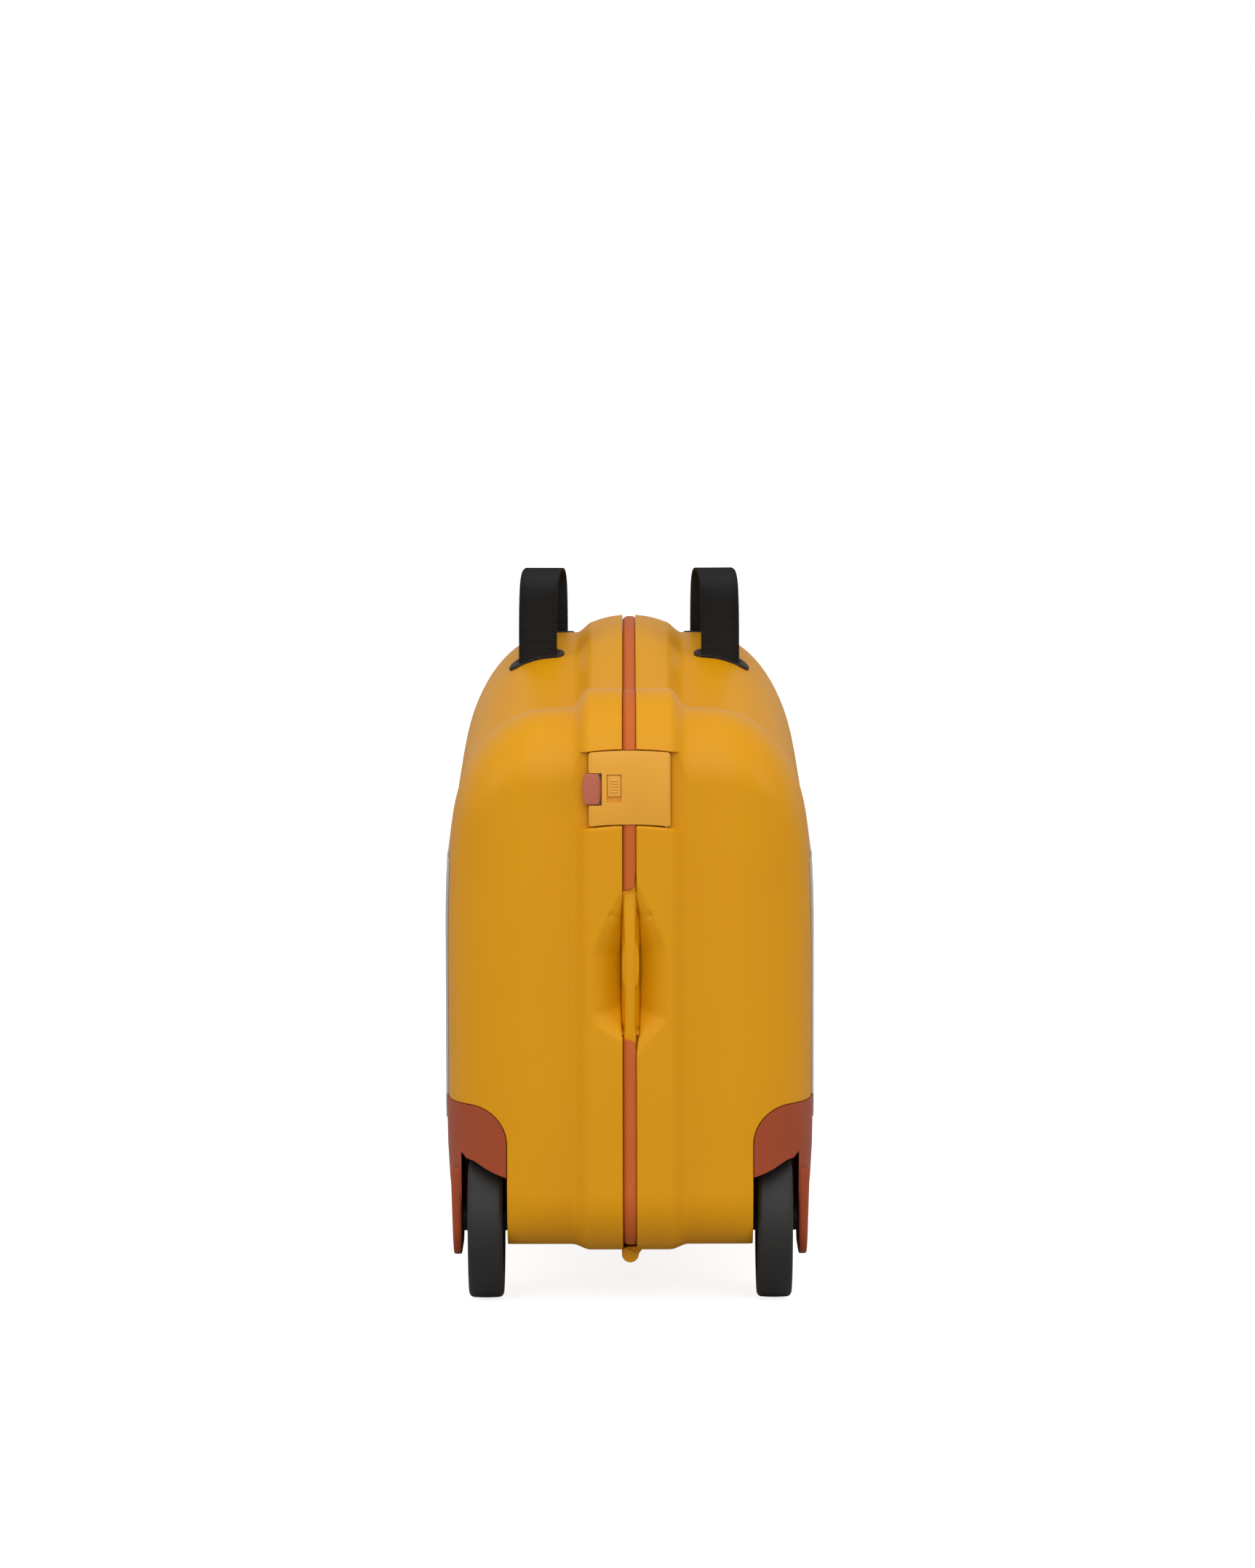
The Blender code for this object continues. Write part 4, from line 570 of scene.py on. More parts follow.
def wheel_corner(name, side, grow):
    """The block that the wheel bracket fills, rounded along its two upper edges."""
    inner = WHEEL_X - WHEEL_WIDTH / 2 - WELL_SIDE_GAP - grow
    back = WHEEL_Y + WHEEL_RADIUS + WELL_ROUND_GAP + BRACKET_BACK + grow
    top = BRACKET_TOP_Z + grow
    outer = PANEL_SPAN / 2 + BEYOND
    xs = sorted((side * inner, side * outer))
    piece = block(name, (xs[0], -HALF_LENGTH - BEYOND, -BEYOND), (xs[1], back, top))
    bpy.context.view_layer.objects.active = piece
    bpy.ops.object.mode_set(mode="EDIT")
    bpy.ops.mesh.select_mode(type="EDGE")
    bpy.ops.mesh.select_all(action="DESELECT")
    form = bmesh.from_edit_mesh(piece.data)
    for edge in form.edges:
        a, b = (vert.co for vert in edge.verts)
        if min(a.z, b.z) > top - GAP:
            if abs(a.x - side * inner) < GAP and abs(b.x - side * inner) < GAP:
                edge.select = True
            if min(a.y, b.y) > back - GAP:
                edge.select = True
    bpy.ops.mesh.bevel(offset=BRACKET_CORNER + grow, segments=14, profile=0.5)
    leave_edit()
    return piece


def plate_outline(middle, margin):
    """The latch plate's outline: round corners, top arched up and bottom arched to match."""
    wide, half, corner = LATCH_HALF + margin, LATCH_HEIGHT / 2 + margin, 0.0017 + margin
    rounded = []
    for way_x, way_z, start in ((1, 1, 0), (-1, 1, 90), (-1, -1, 180), (1, -1, 270)):
        centre = (way_x * (wide - corner), way_z * (half - corner) + middle)
        rounded += arc(centre, (corner, corner), start, start + 90, 6)
        if start in (0, 180):
            rounded += [(way_z * share * (wide - corner), way_z * half + middle)
                        for share in (0.75, 0.5, 0.25, 0, -0.25, -0.5, -0.75)]
    return [(x, z - 0.0012 * (x / LATCH_HALF) ** 2 + (0.0015 if z < middle else 0)) for x, z in rounded]


def pocket_cuts(name, grow):
    """The pockets under both latch plates, an even gap wider than the plates."""
    depth = HALF_LENGTH - PLATE_SINK - PLATE_THICKNESS - 0.0057
    tools = []
    for end_name, end in ENDS:
        ys = sorted((end * (depth - grow), end * (HALF_LENGTH + BEYOND)))
        outline = plate_outline(LATCH_HEIGHTS[end_name], POCKET_GAP + grow)
        tools.append(prism(name, outline, ys[0], ys[1], "XZ"))
    return joined(name, tools)


def ridge_lift(x):
    """How high the ridge stands on an end at a distance from the seam."""
    share = max(0, min(1, (abs(x) - RIDGE_CROWN) / (RIDGE_FOOT - RIDGE_CROWN)))
    return RIDGE_END * (1 + math.cos(math.pi * share)) / 2


def notch_cuts(name, grow):
    """The notches that both latches need in the ridge, with arched ends and rounded lips."""
    tools = []
    lip = NOTCH_LIP
    for end_name, end in ENDS:
        middle = LATCH_HEIGHTS[end_name]
        half = NOTCH_HALF + grow
        rows = []
        for level, sink, way in ((middle + LATCH_HEIGHT / 2 + 0.0006 + grow, 0.0032, 1),
                                 (middle - LATCH_HEIGHT / 2 + 0.0009 - grow, 0.0040, -1)):
            row = [(half * i / 14, level - sink * (i / 14) ** 2, way) for i in range(-14, 15)]
            rows += row if not rows else row[::-1]
        depths = [-grow] if grow else [0.0002] + [0.0009 + 0.00045 * i for i in range(18)]
        depths.append(HALF_LENGTH + BEYOND - END_Y)
        rings = []
        for depth in depths:
            ring = []
            for x, z, way in rows:
                below = ridge_lift(x) - depth
                open_by = 0
                if not grow:
                    below = max(0, min(lip, below))
                    open_by = lip - math.sqrt(lip ** 2 - (lip - below) ** 2)
                ring.append(Vector((x, end * (END_Y + depth), z + way * open_by)))
            rings.append(ring)
        tools.append(drawn_out(name, rings))
    return joined(name, tools)


def caster_well(name, side, grow):
    """The round well that holds a caster."""
    centre = (side * CASTER_X, CASTER_Y)
    return bar(name, (*centre, -BEYOND), (*centre, CASTER_TOP + grow), CASTER_WELL + grow, 96)


def loop_axis(side):
    """Middle and turn of a webbing loop, seen from above."""
    run = Vector((side * -0.006, 0.080))
    return Vector((side * 0.053, 0.125)), math.atan2(-run.x, run.y), run.length


def loop_feet(side):
    """The two places where a loop enters the shell: front and rear."""
    return ((side * 0.0565, 0.090), (side * 0.0505, 0.165))


def slot_block(name, place, turn):
    """An upright slot for a loop's leg."""
    leave_edit()
    bpy.ops.mesh.primitive_cube_add(size=1, location=place)
    piece = named(name)
    piece.scale = (SLOT_WIDTH, SLOT_THICKNESS, 2 * BEYOND)
    piece.rotation_euler = (0, 0, turn)
    return settle(piece)


def surface_of(piece):
    """A piece's outer surface, ready to be looked up."""
    form = bmesh.new()
    form.from_mesh(piece.data)
    tree = BVHTree.FromBMesh(form)
    form.free()
    return tree


def surface_over(tree, x, y):
    """The point and normal of a surface straight under a place."""
    place, normal, _, _ = tree.ray_cast(Vector((x, y, 1)), Vector((0, 0, -1)))
    return place, normal


def knuckle_spans():
    """Where the knuckles lie along the hinge, for each side."""
    spans = {"left": [], "right": []}
    for centre in (-0.195, 0, 0.195):
        spans["left"].append((centre - 0.010, centre + 0.010))
        for way in (-1, 1):
            near, far = centre + way * 0.0105, centre + way * 0.0245
            spans["right"].append((min(near, far), max(near, far)))
    return spans


def knuckle_outline(side):
    """A knuckle's end view: a barrel round the pin with a web up to its own shell."""
    barrel = arc((0, 0), (KNUCKLE_RADIUS,) * 2, 180, 415, 36)
    web = LEFT_EDGE - GAP / 2
    top = UNDERSIDE_Z + WALL / 2 - HINGE_Z
    outer = web + 0.0030
    points = barrel + [(-web, KNUCKLE_RADIUS - GAP), (-web, top), (-outer, top), (-outer, 0.0030)]
    return [(-side * x, z + HINGE_Z) for x, z in points]


def make_shell(side_name, side, edge):
    """A moulded half shell with its pockets, wells, slots and hinge knuckles."""
    shell = case_form(side_name + "_moulded_shell", side, 0, edge)
    hollow = case_form("hollow", side, -WALL, -BEYOND, fine=False)
    walls = joined("walls", [wheel_corner("corner", side, WALL), caster_well("well", side, WALL)])
    cut(hollow, walls)
    cut(hollow, notch_cuts("notch_walls", WALL))
    cut(hollow, pocket_cuts("pocket_walls", WALL))
    tree = surface_of(shell)
    feet = [surface_over(tree, x, y) for x, y in loop_feet(side)]
    cut(shell, hollow)
    turn = loop_axis(side)[1]
    cut(shell, notch_cuts("notches", 0))
    holes = [wheel_corner("corner", side, 0), caster_well("well", side, 0)]
    holes += [slot_block("slot", place, turn) for place, _ in feet]
    cut(shell, joined("holes", holes))
    cut(shell, pocket_cuts("pockets", 0))
    spans = knuckle_spans()
    other = "right" if side_name == "left" else "left"
    cut(shell, joined("relief", [bar("relief", (0, low - GAP, HINGE_Z), (0, high + GAP, HINGE_Z),
                                     KNUCKLE_RADIUS + RUN_GAP) for low, high in spans[other]]))
    cut(shell, joined("knuckles", [prism("knuckle", knuckle_outline(side), low, high, "XZ")
                                   for low, high in spans[side_name]]), "UNION")
    cut(shell, joined("bores", [
        bar("bore", (0, low - GAP, HINGE_Z), (0, high + GAP, HINGE_Z), HINGE_BORE)
        for low, high in spans[side_name]]))
    if side_name == "right":
        low = min(spans["right"])[0]
        tip = min(low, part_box("hinge_pin")[0].y) - 0.0006
        cut(shell, prism("lug_end", knuckle_outline(side)[:-4], tip, low + 0.0001, "XZ"), "UNION")
    hand_over(shell, 30, side_name + "_half", "shell", side_name + "_shell")
    return feet, tree


def slide_rings(stops, outline):
    """Rings of one outline across the seam, set at each stop: its place and outward direction."""
    return [[place + Vector((1, 0, 0)) * a + outward * b for a, b in outline]
            for place, outward in stops]


def strip_line(sink):
    """The seam strip's line round the case, as places and outward normals."""
    hinge_clear = HINGE_Z + KNUCKLE_RADIUS + GAP - UNDERSIDE_Z
    found = []
    for point, normal in STATIONS:
        lift = blend(normal, RIDGE_TOP - STRIP_SINK, RIDGE_END - STRIP_SINK, -hinge_clear) - sink
        place = point + normal * lift
        found.append((Vector((0, place.x, place.y)), Vector((0, normal.x, normal.y))))
    return found


# The strip's section: width across the seam and height to its crown
STRIP_PROFILE = [(-0.0040, -0.0060), (-0.0040, -0.0024), (-0.0037, -0.0016), (-0.0030, -0.0009),
                 (-0.0022, -0.0004), (-0.0010, 0.0), (0.0010, 0.0), (0.0024, -0.0001),
                 (0.0032, -0.0004), (0.0037, -0.0011), (0.0037, -0.0060)]
# The strip's curled ends above and below the fin handle, as width and height
UPPER_END = [(-0.0060, 0.2408), (-0.0036, 0.2411), (-0.0030, 0.2415), (-0.0022, 0.2419),
             (-0.0012, 0.24215), (0.0, 0.2423), (0.0008, 0.2426), (0.0015, 0.2430), (0.0021, 0.2437),
             (0.0025, 0.2446), (0.0027, 0.2460), (0.0029, 0.2480), (0.0031, 0.2500), (0.0035, 0.2525),
             (0.0060, 0.2526)]
LOWER_END = [(-0.0060, 0.1582), (-0.0037, 0.1579), (-0.0030, 0.1571), (-0.0022, 0.15666),
             (-0.0005, 0.1563), (0.0010, 0.1560), (0.0018, 0.1556), (0.0025, 0.1550), (0.0029, 0.1542),
             (0.0032, 0.1530), (0.0034, 0.1510), (0.0036, 0.1490), (0.0060, 0.1485)]


def make_strips():
    """The seam strip in its three runs, with the curled ends that meet the fin handle."""
    line = strip_line(0)
    last_top = max(i for i, (place, _) in enumerate(line) if place.y > 0.2 and place.z > 0.256)
    first_low = min(i for i, (place, _) in enumerate(line) if place.y > 0.2 and place.z < 0.221)
    near_line = [i for i, (place, normal) in enumerate(line) if normal.y < -0.99]
    last_low = max(i for i in near_line if line[i][0].z < 0.163)
    runs = {"seam_strip_top": range(0, last_top + 1),
            "seam_strip_near_upper": [i for i in near_line if 0.236 < line[i][0].z < 0.285],
            "seam_strip_lower": range(first_low, last_low + 1)}
    gaps = []
    for end_name, end in ENDS:
        middle = LATCH_HEIGHTS[end_name]
        ys = sorted((end * 0.235, end * 0.265))
        gaps.append(((-0.01, ys[0], middle - LATCH_HEIGHT / 2 + 0.0015 - GAP),
                     (0.01, ys[1], middle + LATCH_HEIGHT / 2 + GAP)))
    for name, indexes in runs.items():
        strip = drawn_out(name + "_moulding", slide_rings([line[i] for i in indexes], STRIP_PROFILE))
        for low, high in gaps:
            cut(strip, block("latch_gap", low, high))
        curl = {"seam_strip_near_upper": UPPER_END, "seam_strip_lower": LOWER_END}.get(name)
        if curl:
            cut(strip, prism("end", curl + [(0.006, 0.2), (-0.006, 0.2)], -0.265, -0.23, "XZ"))
        hand_over(strip, 30, "right_half", "strip", name)


def make_grip():
    """The fin handle in the finger recess: a bowed bar with a waist and two pads."""
    floor = -(HALF_LENGTH - RECESS_DEPTH - WALL)
    middle, half_gap = GRIP_MIDDLE_Z, GRIP_HALF_GAP
    rings = []
    count = 120
    for i in range(count + 1):
        z = 0.1440 + (0.2545 - 0.1440) * i / count
        front = -(HALF_LENGTH - PLATE_SINK) + GRIP_BOW * ((z - middle) / 0.047) ** 2
        waist = eased(z, 0.1560, 0.1640) * (1 - eased(z, 0.2040, 0.2440))
        left, right = -0.00366 + 0.00110 * waist, 0.00350 - 0.00070 * waist
        back = floor
        if abs(z - middle) < half_gap:
            back = floor - GRIP_GAP_DEPTH * math.sqrt(1 - ((z - middle) / half_gap) ** 2)
        free = seam_opening(z, -1)
        base_left, base_right = -0.00375 - free, 0.0037 + seam_opening(z, 1)
        pad = math.sqrt(max(0, 1 - ((z - PAD_Z) / PAD_HALF) ** 2))
        pad_left, pad_right = left * 0.9 - 0.0006, right * 0.9 + 0.0006
        pad_left += (base_left + 0.0002 - pad_left) * pad
        pad_right += (base_right - 0.0002 - pad_right) * pad
        points = [(left + 0.0011, front), (left + 0.0004, front + 0.0002), (left, front + 0.0007),
                  (pad_left, front + 0.0019), (pad_left * 0.95 + base_left * 0.05, front + 0.0028),
                  (base_left, front + 0.0052), (base_left, back), (base_right, back),
                  (base_right, front + 0.0052),
                  (pad_right * 0.95 + base_right * 0.05, front + 0.0028), (pad_right, front + 0.0019),
                  (right, front + 0.0007), (right - 0.0004, front + 0.0002), (right - 0.0011, front)]
        points = [(x, min(y, back) if j in (5, 8) else y) for j, (x, y) in enumerate(points)]
        rings.append([Vector((x, y, z)) for x, y in points])
    grip = drawn_out("fin_handle", rings)
    above = [(x, z + 0.0002) for x, z in UPPER_END] + [(0.006, 0.27), (-0.006, 0.27)]
    below = [(x, z - 0.0002) for x, z in LOWER_END] + [(0.006, 0.13), (-0.006, 0.13)]
    cut(grip, prism("above", above, -0.27, -0.2482, "XZ"))
    cut(grip, prism("below", below, -0.27, -0.2482, "XZ"))
    hand_over(grip, 45, "right_half", "shell")

    rings = []
    for i in range(65):
        z = 0.1590 + (0.2410 - 0.1590) * i / 64
        xs = (-0.0040 - seam_opening(z, -1), 0.0037 + seam_opening(z, 1))
        y = -HALF_LENGTH + recess_depth(0.0045, z, 0, 1) + 0.0008
        rings.append([Vector((x, b, z)) for x, b in (
            (xs[0], y), (xs[1], y), (xs[1], y + 0.0020), (xs[0], y + 0.0020))])
    lining = drawn_out("recess_lining", rings)
    hand_over(lining, 40, "right_half", "shell")


def make_latch(end_name, end):
    """A latch: plate with chamfered sides, button beside it and slider with five ridges."""
    middle = LATCH_HEIGHTS[end_name]
    half = LATCH_HEIGHT / 2
    face = HALF_LENGTH - PLATE_SINK
    back = face - PLATE_THICKNESS
    side, heel = 0.0026, 0.0021
    outline = arc((LATCH_HALF - heel, face - heel), (heel, heel), 90, 0, 6)
    outline += arc((LATCH_HALF - heel, back + heel), (heel, heel), 0, -90, 6)
    outline += [(-LATCH_HALF, back)] + arc((side - LATCH_HALF, face - side), (side, side), 180, 90, 6)
    plate = prism(end_name + "_plate", [(x, end * y) for x, y in outline], middle - half,
                  middle + half, "XY")
    ys = sorted((end * 0.24, end * 0.27))
    cut(plate, prism("corners", plate_outline(middle, 0), ys[0], ys[1], "XZ"), "INTERSECT")
    ease(plate, 0.00035, 2, 25)
    ys = sorted((end * (back - GAP), end * (face + BEYOND)))
    cut(plate, block("button_slot", (-LATCH_HALF - BEYOND, ys[0], middle - BUTTON_HALF - 0.0007),
                     (-0.0155, ys[1], middle + BUTTON_HALF + 0.0003)))
    ys = sorted((end * (face - 0.0021), end * (face + BEYOND)))
    cut(plate, block("slider_slot", (SLIDER_X - 0.00410, ys[0], middle - 0.00745),
                     (SLIDER_X + 0.00410, ys[1], middle + 0.00800)))
    x, y = LATCH_HALF - PLATE_THICKNESS / 2, end * (face - PLATE_THICKNESS / 2)
    cut(plate, bar("pin_bore", (x, y, middle - LATCH_HEIGHT), (x, y, middle + half - 0.0020),
                   0.0013, 24))
    hand_over(plate, 30, end_name + "_latch", "latch", end_name + "_latch_plate")
    low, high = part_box(end_name + "_latch_pin")
    pin_top = min(high.z, middle + half - 0.0022)
    pin = bar(end_name + "_plate_pivot", (x, y, low.z), (x, y, pin_top), 0.0010, 24)
    ease(pin, 0.0002, 2)
    hand_over(pin, 40, "right_half", "steel", end_name + "_latch_pin")

    ys = sorted((end * (face - 0.0020), end * (face - 0.0006)))
    centre = middle + 0.0017
    slider = block(end_name + "_slide_catch", (SLIDER_X - 0.00395, ys[0], centre - 0.00615),
                   (SLIDER_X + 0.00395, ys[1], centre + 0.00615))
    ease(slider, 0.0006, 3)
    ridges = []
    for i in range(5):
        z = centre - 0.0001 + (i - 2) * 0.0016
        ridges.append(bar("ridge", (SLIDER_X - 0.0021, end * (face - 0.00055), z),
                          (SLIDER_X + 0.0021, end * (face - 0.00055), z), 0.00055, 16))
    cut(slider, joined("ridges", ridges), "UNION")
    hand_over(slider, 35, end_name + "_slider", "latch", end_name + "_latch_slider", finish="slider")

    front = HALF_LENGTH - 0.0001
    outline = []
    for x, way in ((BUTTON_OUTER_X, 1), (BUTTON_INNER_X, -1)):
        for i in range(13):
            share = way * (1 - i / 6)
            outline.append((x + way * 0.0014 * abs(share) ** 2.2, middle + share * BUTTON_HALF))
    ys = sorted((end * (front - 0.0050), end * front))
    button = prism(end_name + "_release_button", outline, ys[0], ys[1], "XZ")
    facet = prism("facet", [(-0.0180, end * (front + 0.0001)), (-0.0150, end * (front - 0.0017)),
                            (-0.0150, end * (front + 0.002)), (-0.0180, end * (front + 0.002))],
                  middle - 0.012, middle + 0.012, "XY")
    cut(button, facet)
    ease(button, 0.0004, 3, 30)
    x = (BUTTON_OUTER_X + BUTTON_INNER_X) / 2
    cut(button, bar("stem", (x, end * (front - 0.0025), middle), (x, end * (front - 0.0094), middle),
                    0.0018, 24), "UNION")
    hand_over(button, 35, end_name + "_button", "button", end_name + "_latch_button")


def make_panel(side_name, side):
    """A thin pale panel that follows the flank, with a rounded rim."""
    def edge_share(normal):
        return blend(normal, 0.45, 0.80, 0.95)

    def at(point, normal, share, grow):
        bulge = blend(normal, TOP_BULGE, SIDE_BULGE, SIDE_BULGE)
        reach = blend(normal, SHOULDER_REACH, END_REACH, BASE_REACH) + grow
        power = blend(normal, SHOULDER_POWER, END_POWER, BASE_POWER)
        limit = blend(normal, SHOULDER_SHARE, END_SHARE, BASE_SHARE)
        start = point + normal * grow
        run = flat_target(point, normal) - start
        fall = 0
        if share < limit:
            cosine = (1 - share / limit) ** (power / 2)
            sine = math.sqrt(max(0, 1 - min(1, cosine) ** 2))
            fall = reach * (1 - sine ** (2 / power))
        place = start + run * share
        width = HALF_WIDTH + grow - bulge * (1 - share) ** 2 - fall
        return Vector((side * drawn_in(width, place.x, place.y), place.x, place.y))

    rings = []
    top = PANEL_THICKNESS + GAP
    levels = [(share, GAP * 0.5) for share in (1.0, 0.5, 0.0)]
    levels += [(0.0, top - 0.0004), (0.002, top - 0.0001), (0.006, top)]
    levels += [(share, top) for share in (0.05, 0.12, 0.2, 0.3, 0.42, 0.56, 0.7, 0.85, 1.0)]
    for share, grow in levels:
        ring = []
        for point, normal in STATIONS:
            first = edge_share(normal)
            target = flat_target(point, normal)
            if point.y > PANEL_TOP_Z:
                level = (point.y - PANEL_TOP_Z) / (point.y - target.y)
                first = (first + level + math.sqrt((first - level) ** 2 + 0.0004)) / 2
            ring.append(at(point, normal, first + (1 - first) * share, grow))
        rings.append(ring)
    panel = drawn_out(side_name + "_flank_panel", rings)
    cut(panel, wheel_corner("corner", side, 0))
    hand_over(panel, 30, side_name + "_half", "panel", side_name + "_side_panel")


def make_bracket(side_name, side):
    """The terracotta corner cover: hood over the wheel, cheek outside it."""
    bracket = case_form(side_name + "_corner_cover", side, BRACKET_PROUD, LEFT_EDGE, CHEEK_REACH,
                        fine=False)
    cut(bracket, wheel_corner("corner", side, -BRACKET_FIT), "INTERSECT")
    cheek = WHEEL_X + WHEEL_WIDTH / 2 + CHEEK_GAP
    inner = WHEEL_X - WHEEL_WIDTH / 2 - WELL_SIDE_GAP - WALL
    radius = WHEEL_RADIUS + WELL_ROUND_GAP
    start = 180 - math.degrees(math.asin((HOOD_INNER_Z - WHEEL_RADIUS) / radius))
    round_part = arc((WHEEL_Y, WHEEL_RADIUS), (radius, radius), start, 0, 48)
    reach = HALF_LENGTH + BEYOND
    outline = round_part + [(WHEEL_Y + radius, -BEYOND), (-reach, -BEYOND), (-reach, HOOD_INNER_Z)]
    xs = sorted((side * inner, side * cheek))
    cut(bracket, prism("wheel_space", outline, xs[0], xs[1], "YZ"))
    near, far, low, corner = WHEEL_Y - SKIRT_NEAR, WHEEL_Y + SKIRT_FAR, SKIRT_LOW_Z, SKIRT_CORNER
    skirt = [(near, SKIRT_TOP_Z)] + arc((near + corner, low + corner), (corner, corner), 180, 270, 14)
    skirt += arc((far - corner, low + corner), (corner, corner), 270, 360, 14) + [(far, SKIRT_TOP_Z)]
    rings = [[Vector((side * (x + slant * (z - low)), y, z)) for y, z in skirt]
             for x, slant in ((cheek + 0.0001, 0), (cheek + 0.0048, SKIRT_SLANT))]
    plate = drawn_out("skirt", rings)
    ease(plate, 0.0012, 3, 60)
    cut(bracket, plate, "UNION")
    mouth = [(inner - 0.002, 0.0745)] + HOOD_EDGE
    mouth += [(cheek, 0.0800), (cheek, 0.0600), (inner - 0.002, 0.0600)]
    cut(bracket, prism("mouth", [(side * x, z) for x, z in mouth], -reach, -0.205, "XZ"))
    cut(bracket, bar("axle_bore", (side * (cheek - GAP), WHEEL_Y, WHEEL_RADIUS),
                     (side * (cheek + 0.0046), WHEEL_Y, WHEEL_RADIUS), 0.0033, 32))
    cut(bracket, bar("screw_bore", (side * WHEEL_X, WHEEL_Y + 0.013, 0.1210),
                     (side * WHEEL_X, WHEEL_Y + 0.013, 0.1035), 0.0019, 24))
    hand_over(bracket, 30, side_name + "_half", "bracket", side_name + "_rear_bracket")


def tyre_rings(radius, inner, half, corner, crown):
    """A tyre's section from its outer side over the tread to its inner side."""
    tread = [(radius - corner + corner * math.sin(a), half - corner + corner * math.cos(a))
             for a in [math.pi / 2 * i / 8 for i in range(9)]]
    flat = half - corner
    middle = [(radius - crown * share ** 2, flat * share) for share in (0.66, 0.33, 0, -0.33, -0.66)]
    tread = [(r - crown, h) for r, h in tread]
    wall = [(inner, half - 0.0006), (inner + 0.0006, half), (inner + 0.0022, half),
            (inner + 0.0027, half - 0.0005), (inner + 0.0032, half - 0.0005), (inner + 0.0037, half)]
    outer = wall + tread
    return outer + middle + [(r, -h) for r, h in reversed(outer)]


def make_fixed_wheel(side_name, side):
    """A big rear wheel: tyre and spoked centre."""
    centre = (side * WHEEL_X, WHEEL_Y, WHEEL_RADIUS)
    tyre = turned(side_name + "_big_tyre", centre,
                  tyre_rings(WHEEL_RADIUS, 0.0340, WHEEL_WIDTH / 2, 0.0031, 0.00025), 128)
    hand_over(tyre, 40, side_name + "_rear_wheel", "rubber", side_name + "_rear_tyre")

    rim, half = 0.0337, 0.0070
    profile = [(0.0033, 0.0138), (0.0072, 0.0138), (0.0075, 0.0135), (0.0078, 0.0030), (0.0090, 0.0020),
               (0.0288, 0.0020), (0.0300, 0.0030), (0.0304, 0.0066), (0.0308, half), (0.0333, half),
               (rim, half - 0.0004)]
    profile = profile + [(r, -h) for r, h in reversed(profile)]
    hub = turned(side_name + "_wheel_centre", centre, profile, 96)
    spokes = []
    for i in range(6):
        angle = math.pi * i / 3
        leave_edit()
        bpy.ops.mesh.primitive_cube_add(size=1, location=(
            centre[0], centre[1] + 0.0187 * math.cos(angle), centre[2] + 0.0187 * math.sin(angle)))
        spoke = named("spoke")
        spoke.scale = (0.0100, 0.0240, 0.0030)
        spoke.rotation_euler = (angle, 0, 0)
        settle(spoke)
        ease(spoke, 0.0005, 2)
        spokes.append(spoke)
    cut(hub, joined("spokes", spokes), "UNION")
    hand_over(hub, 40, side_name + "_rear_wheel", "hub", side_name + "_rear_hub")


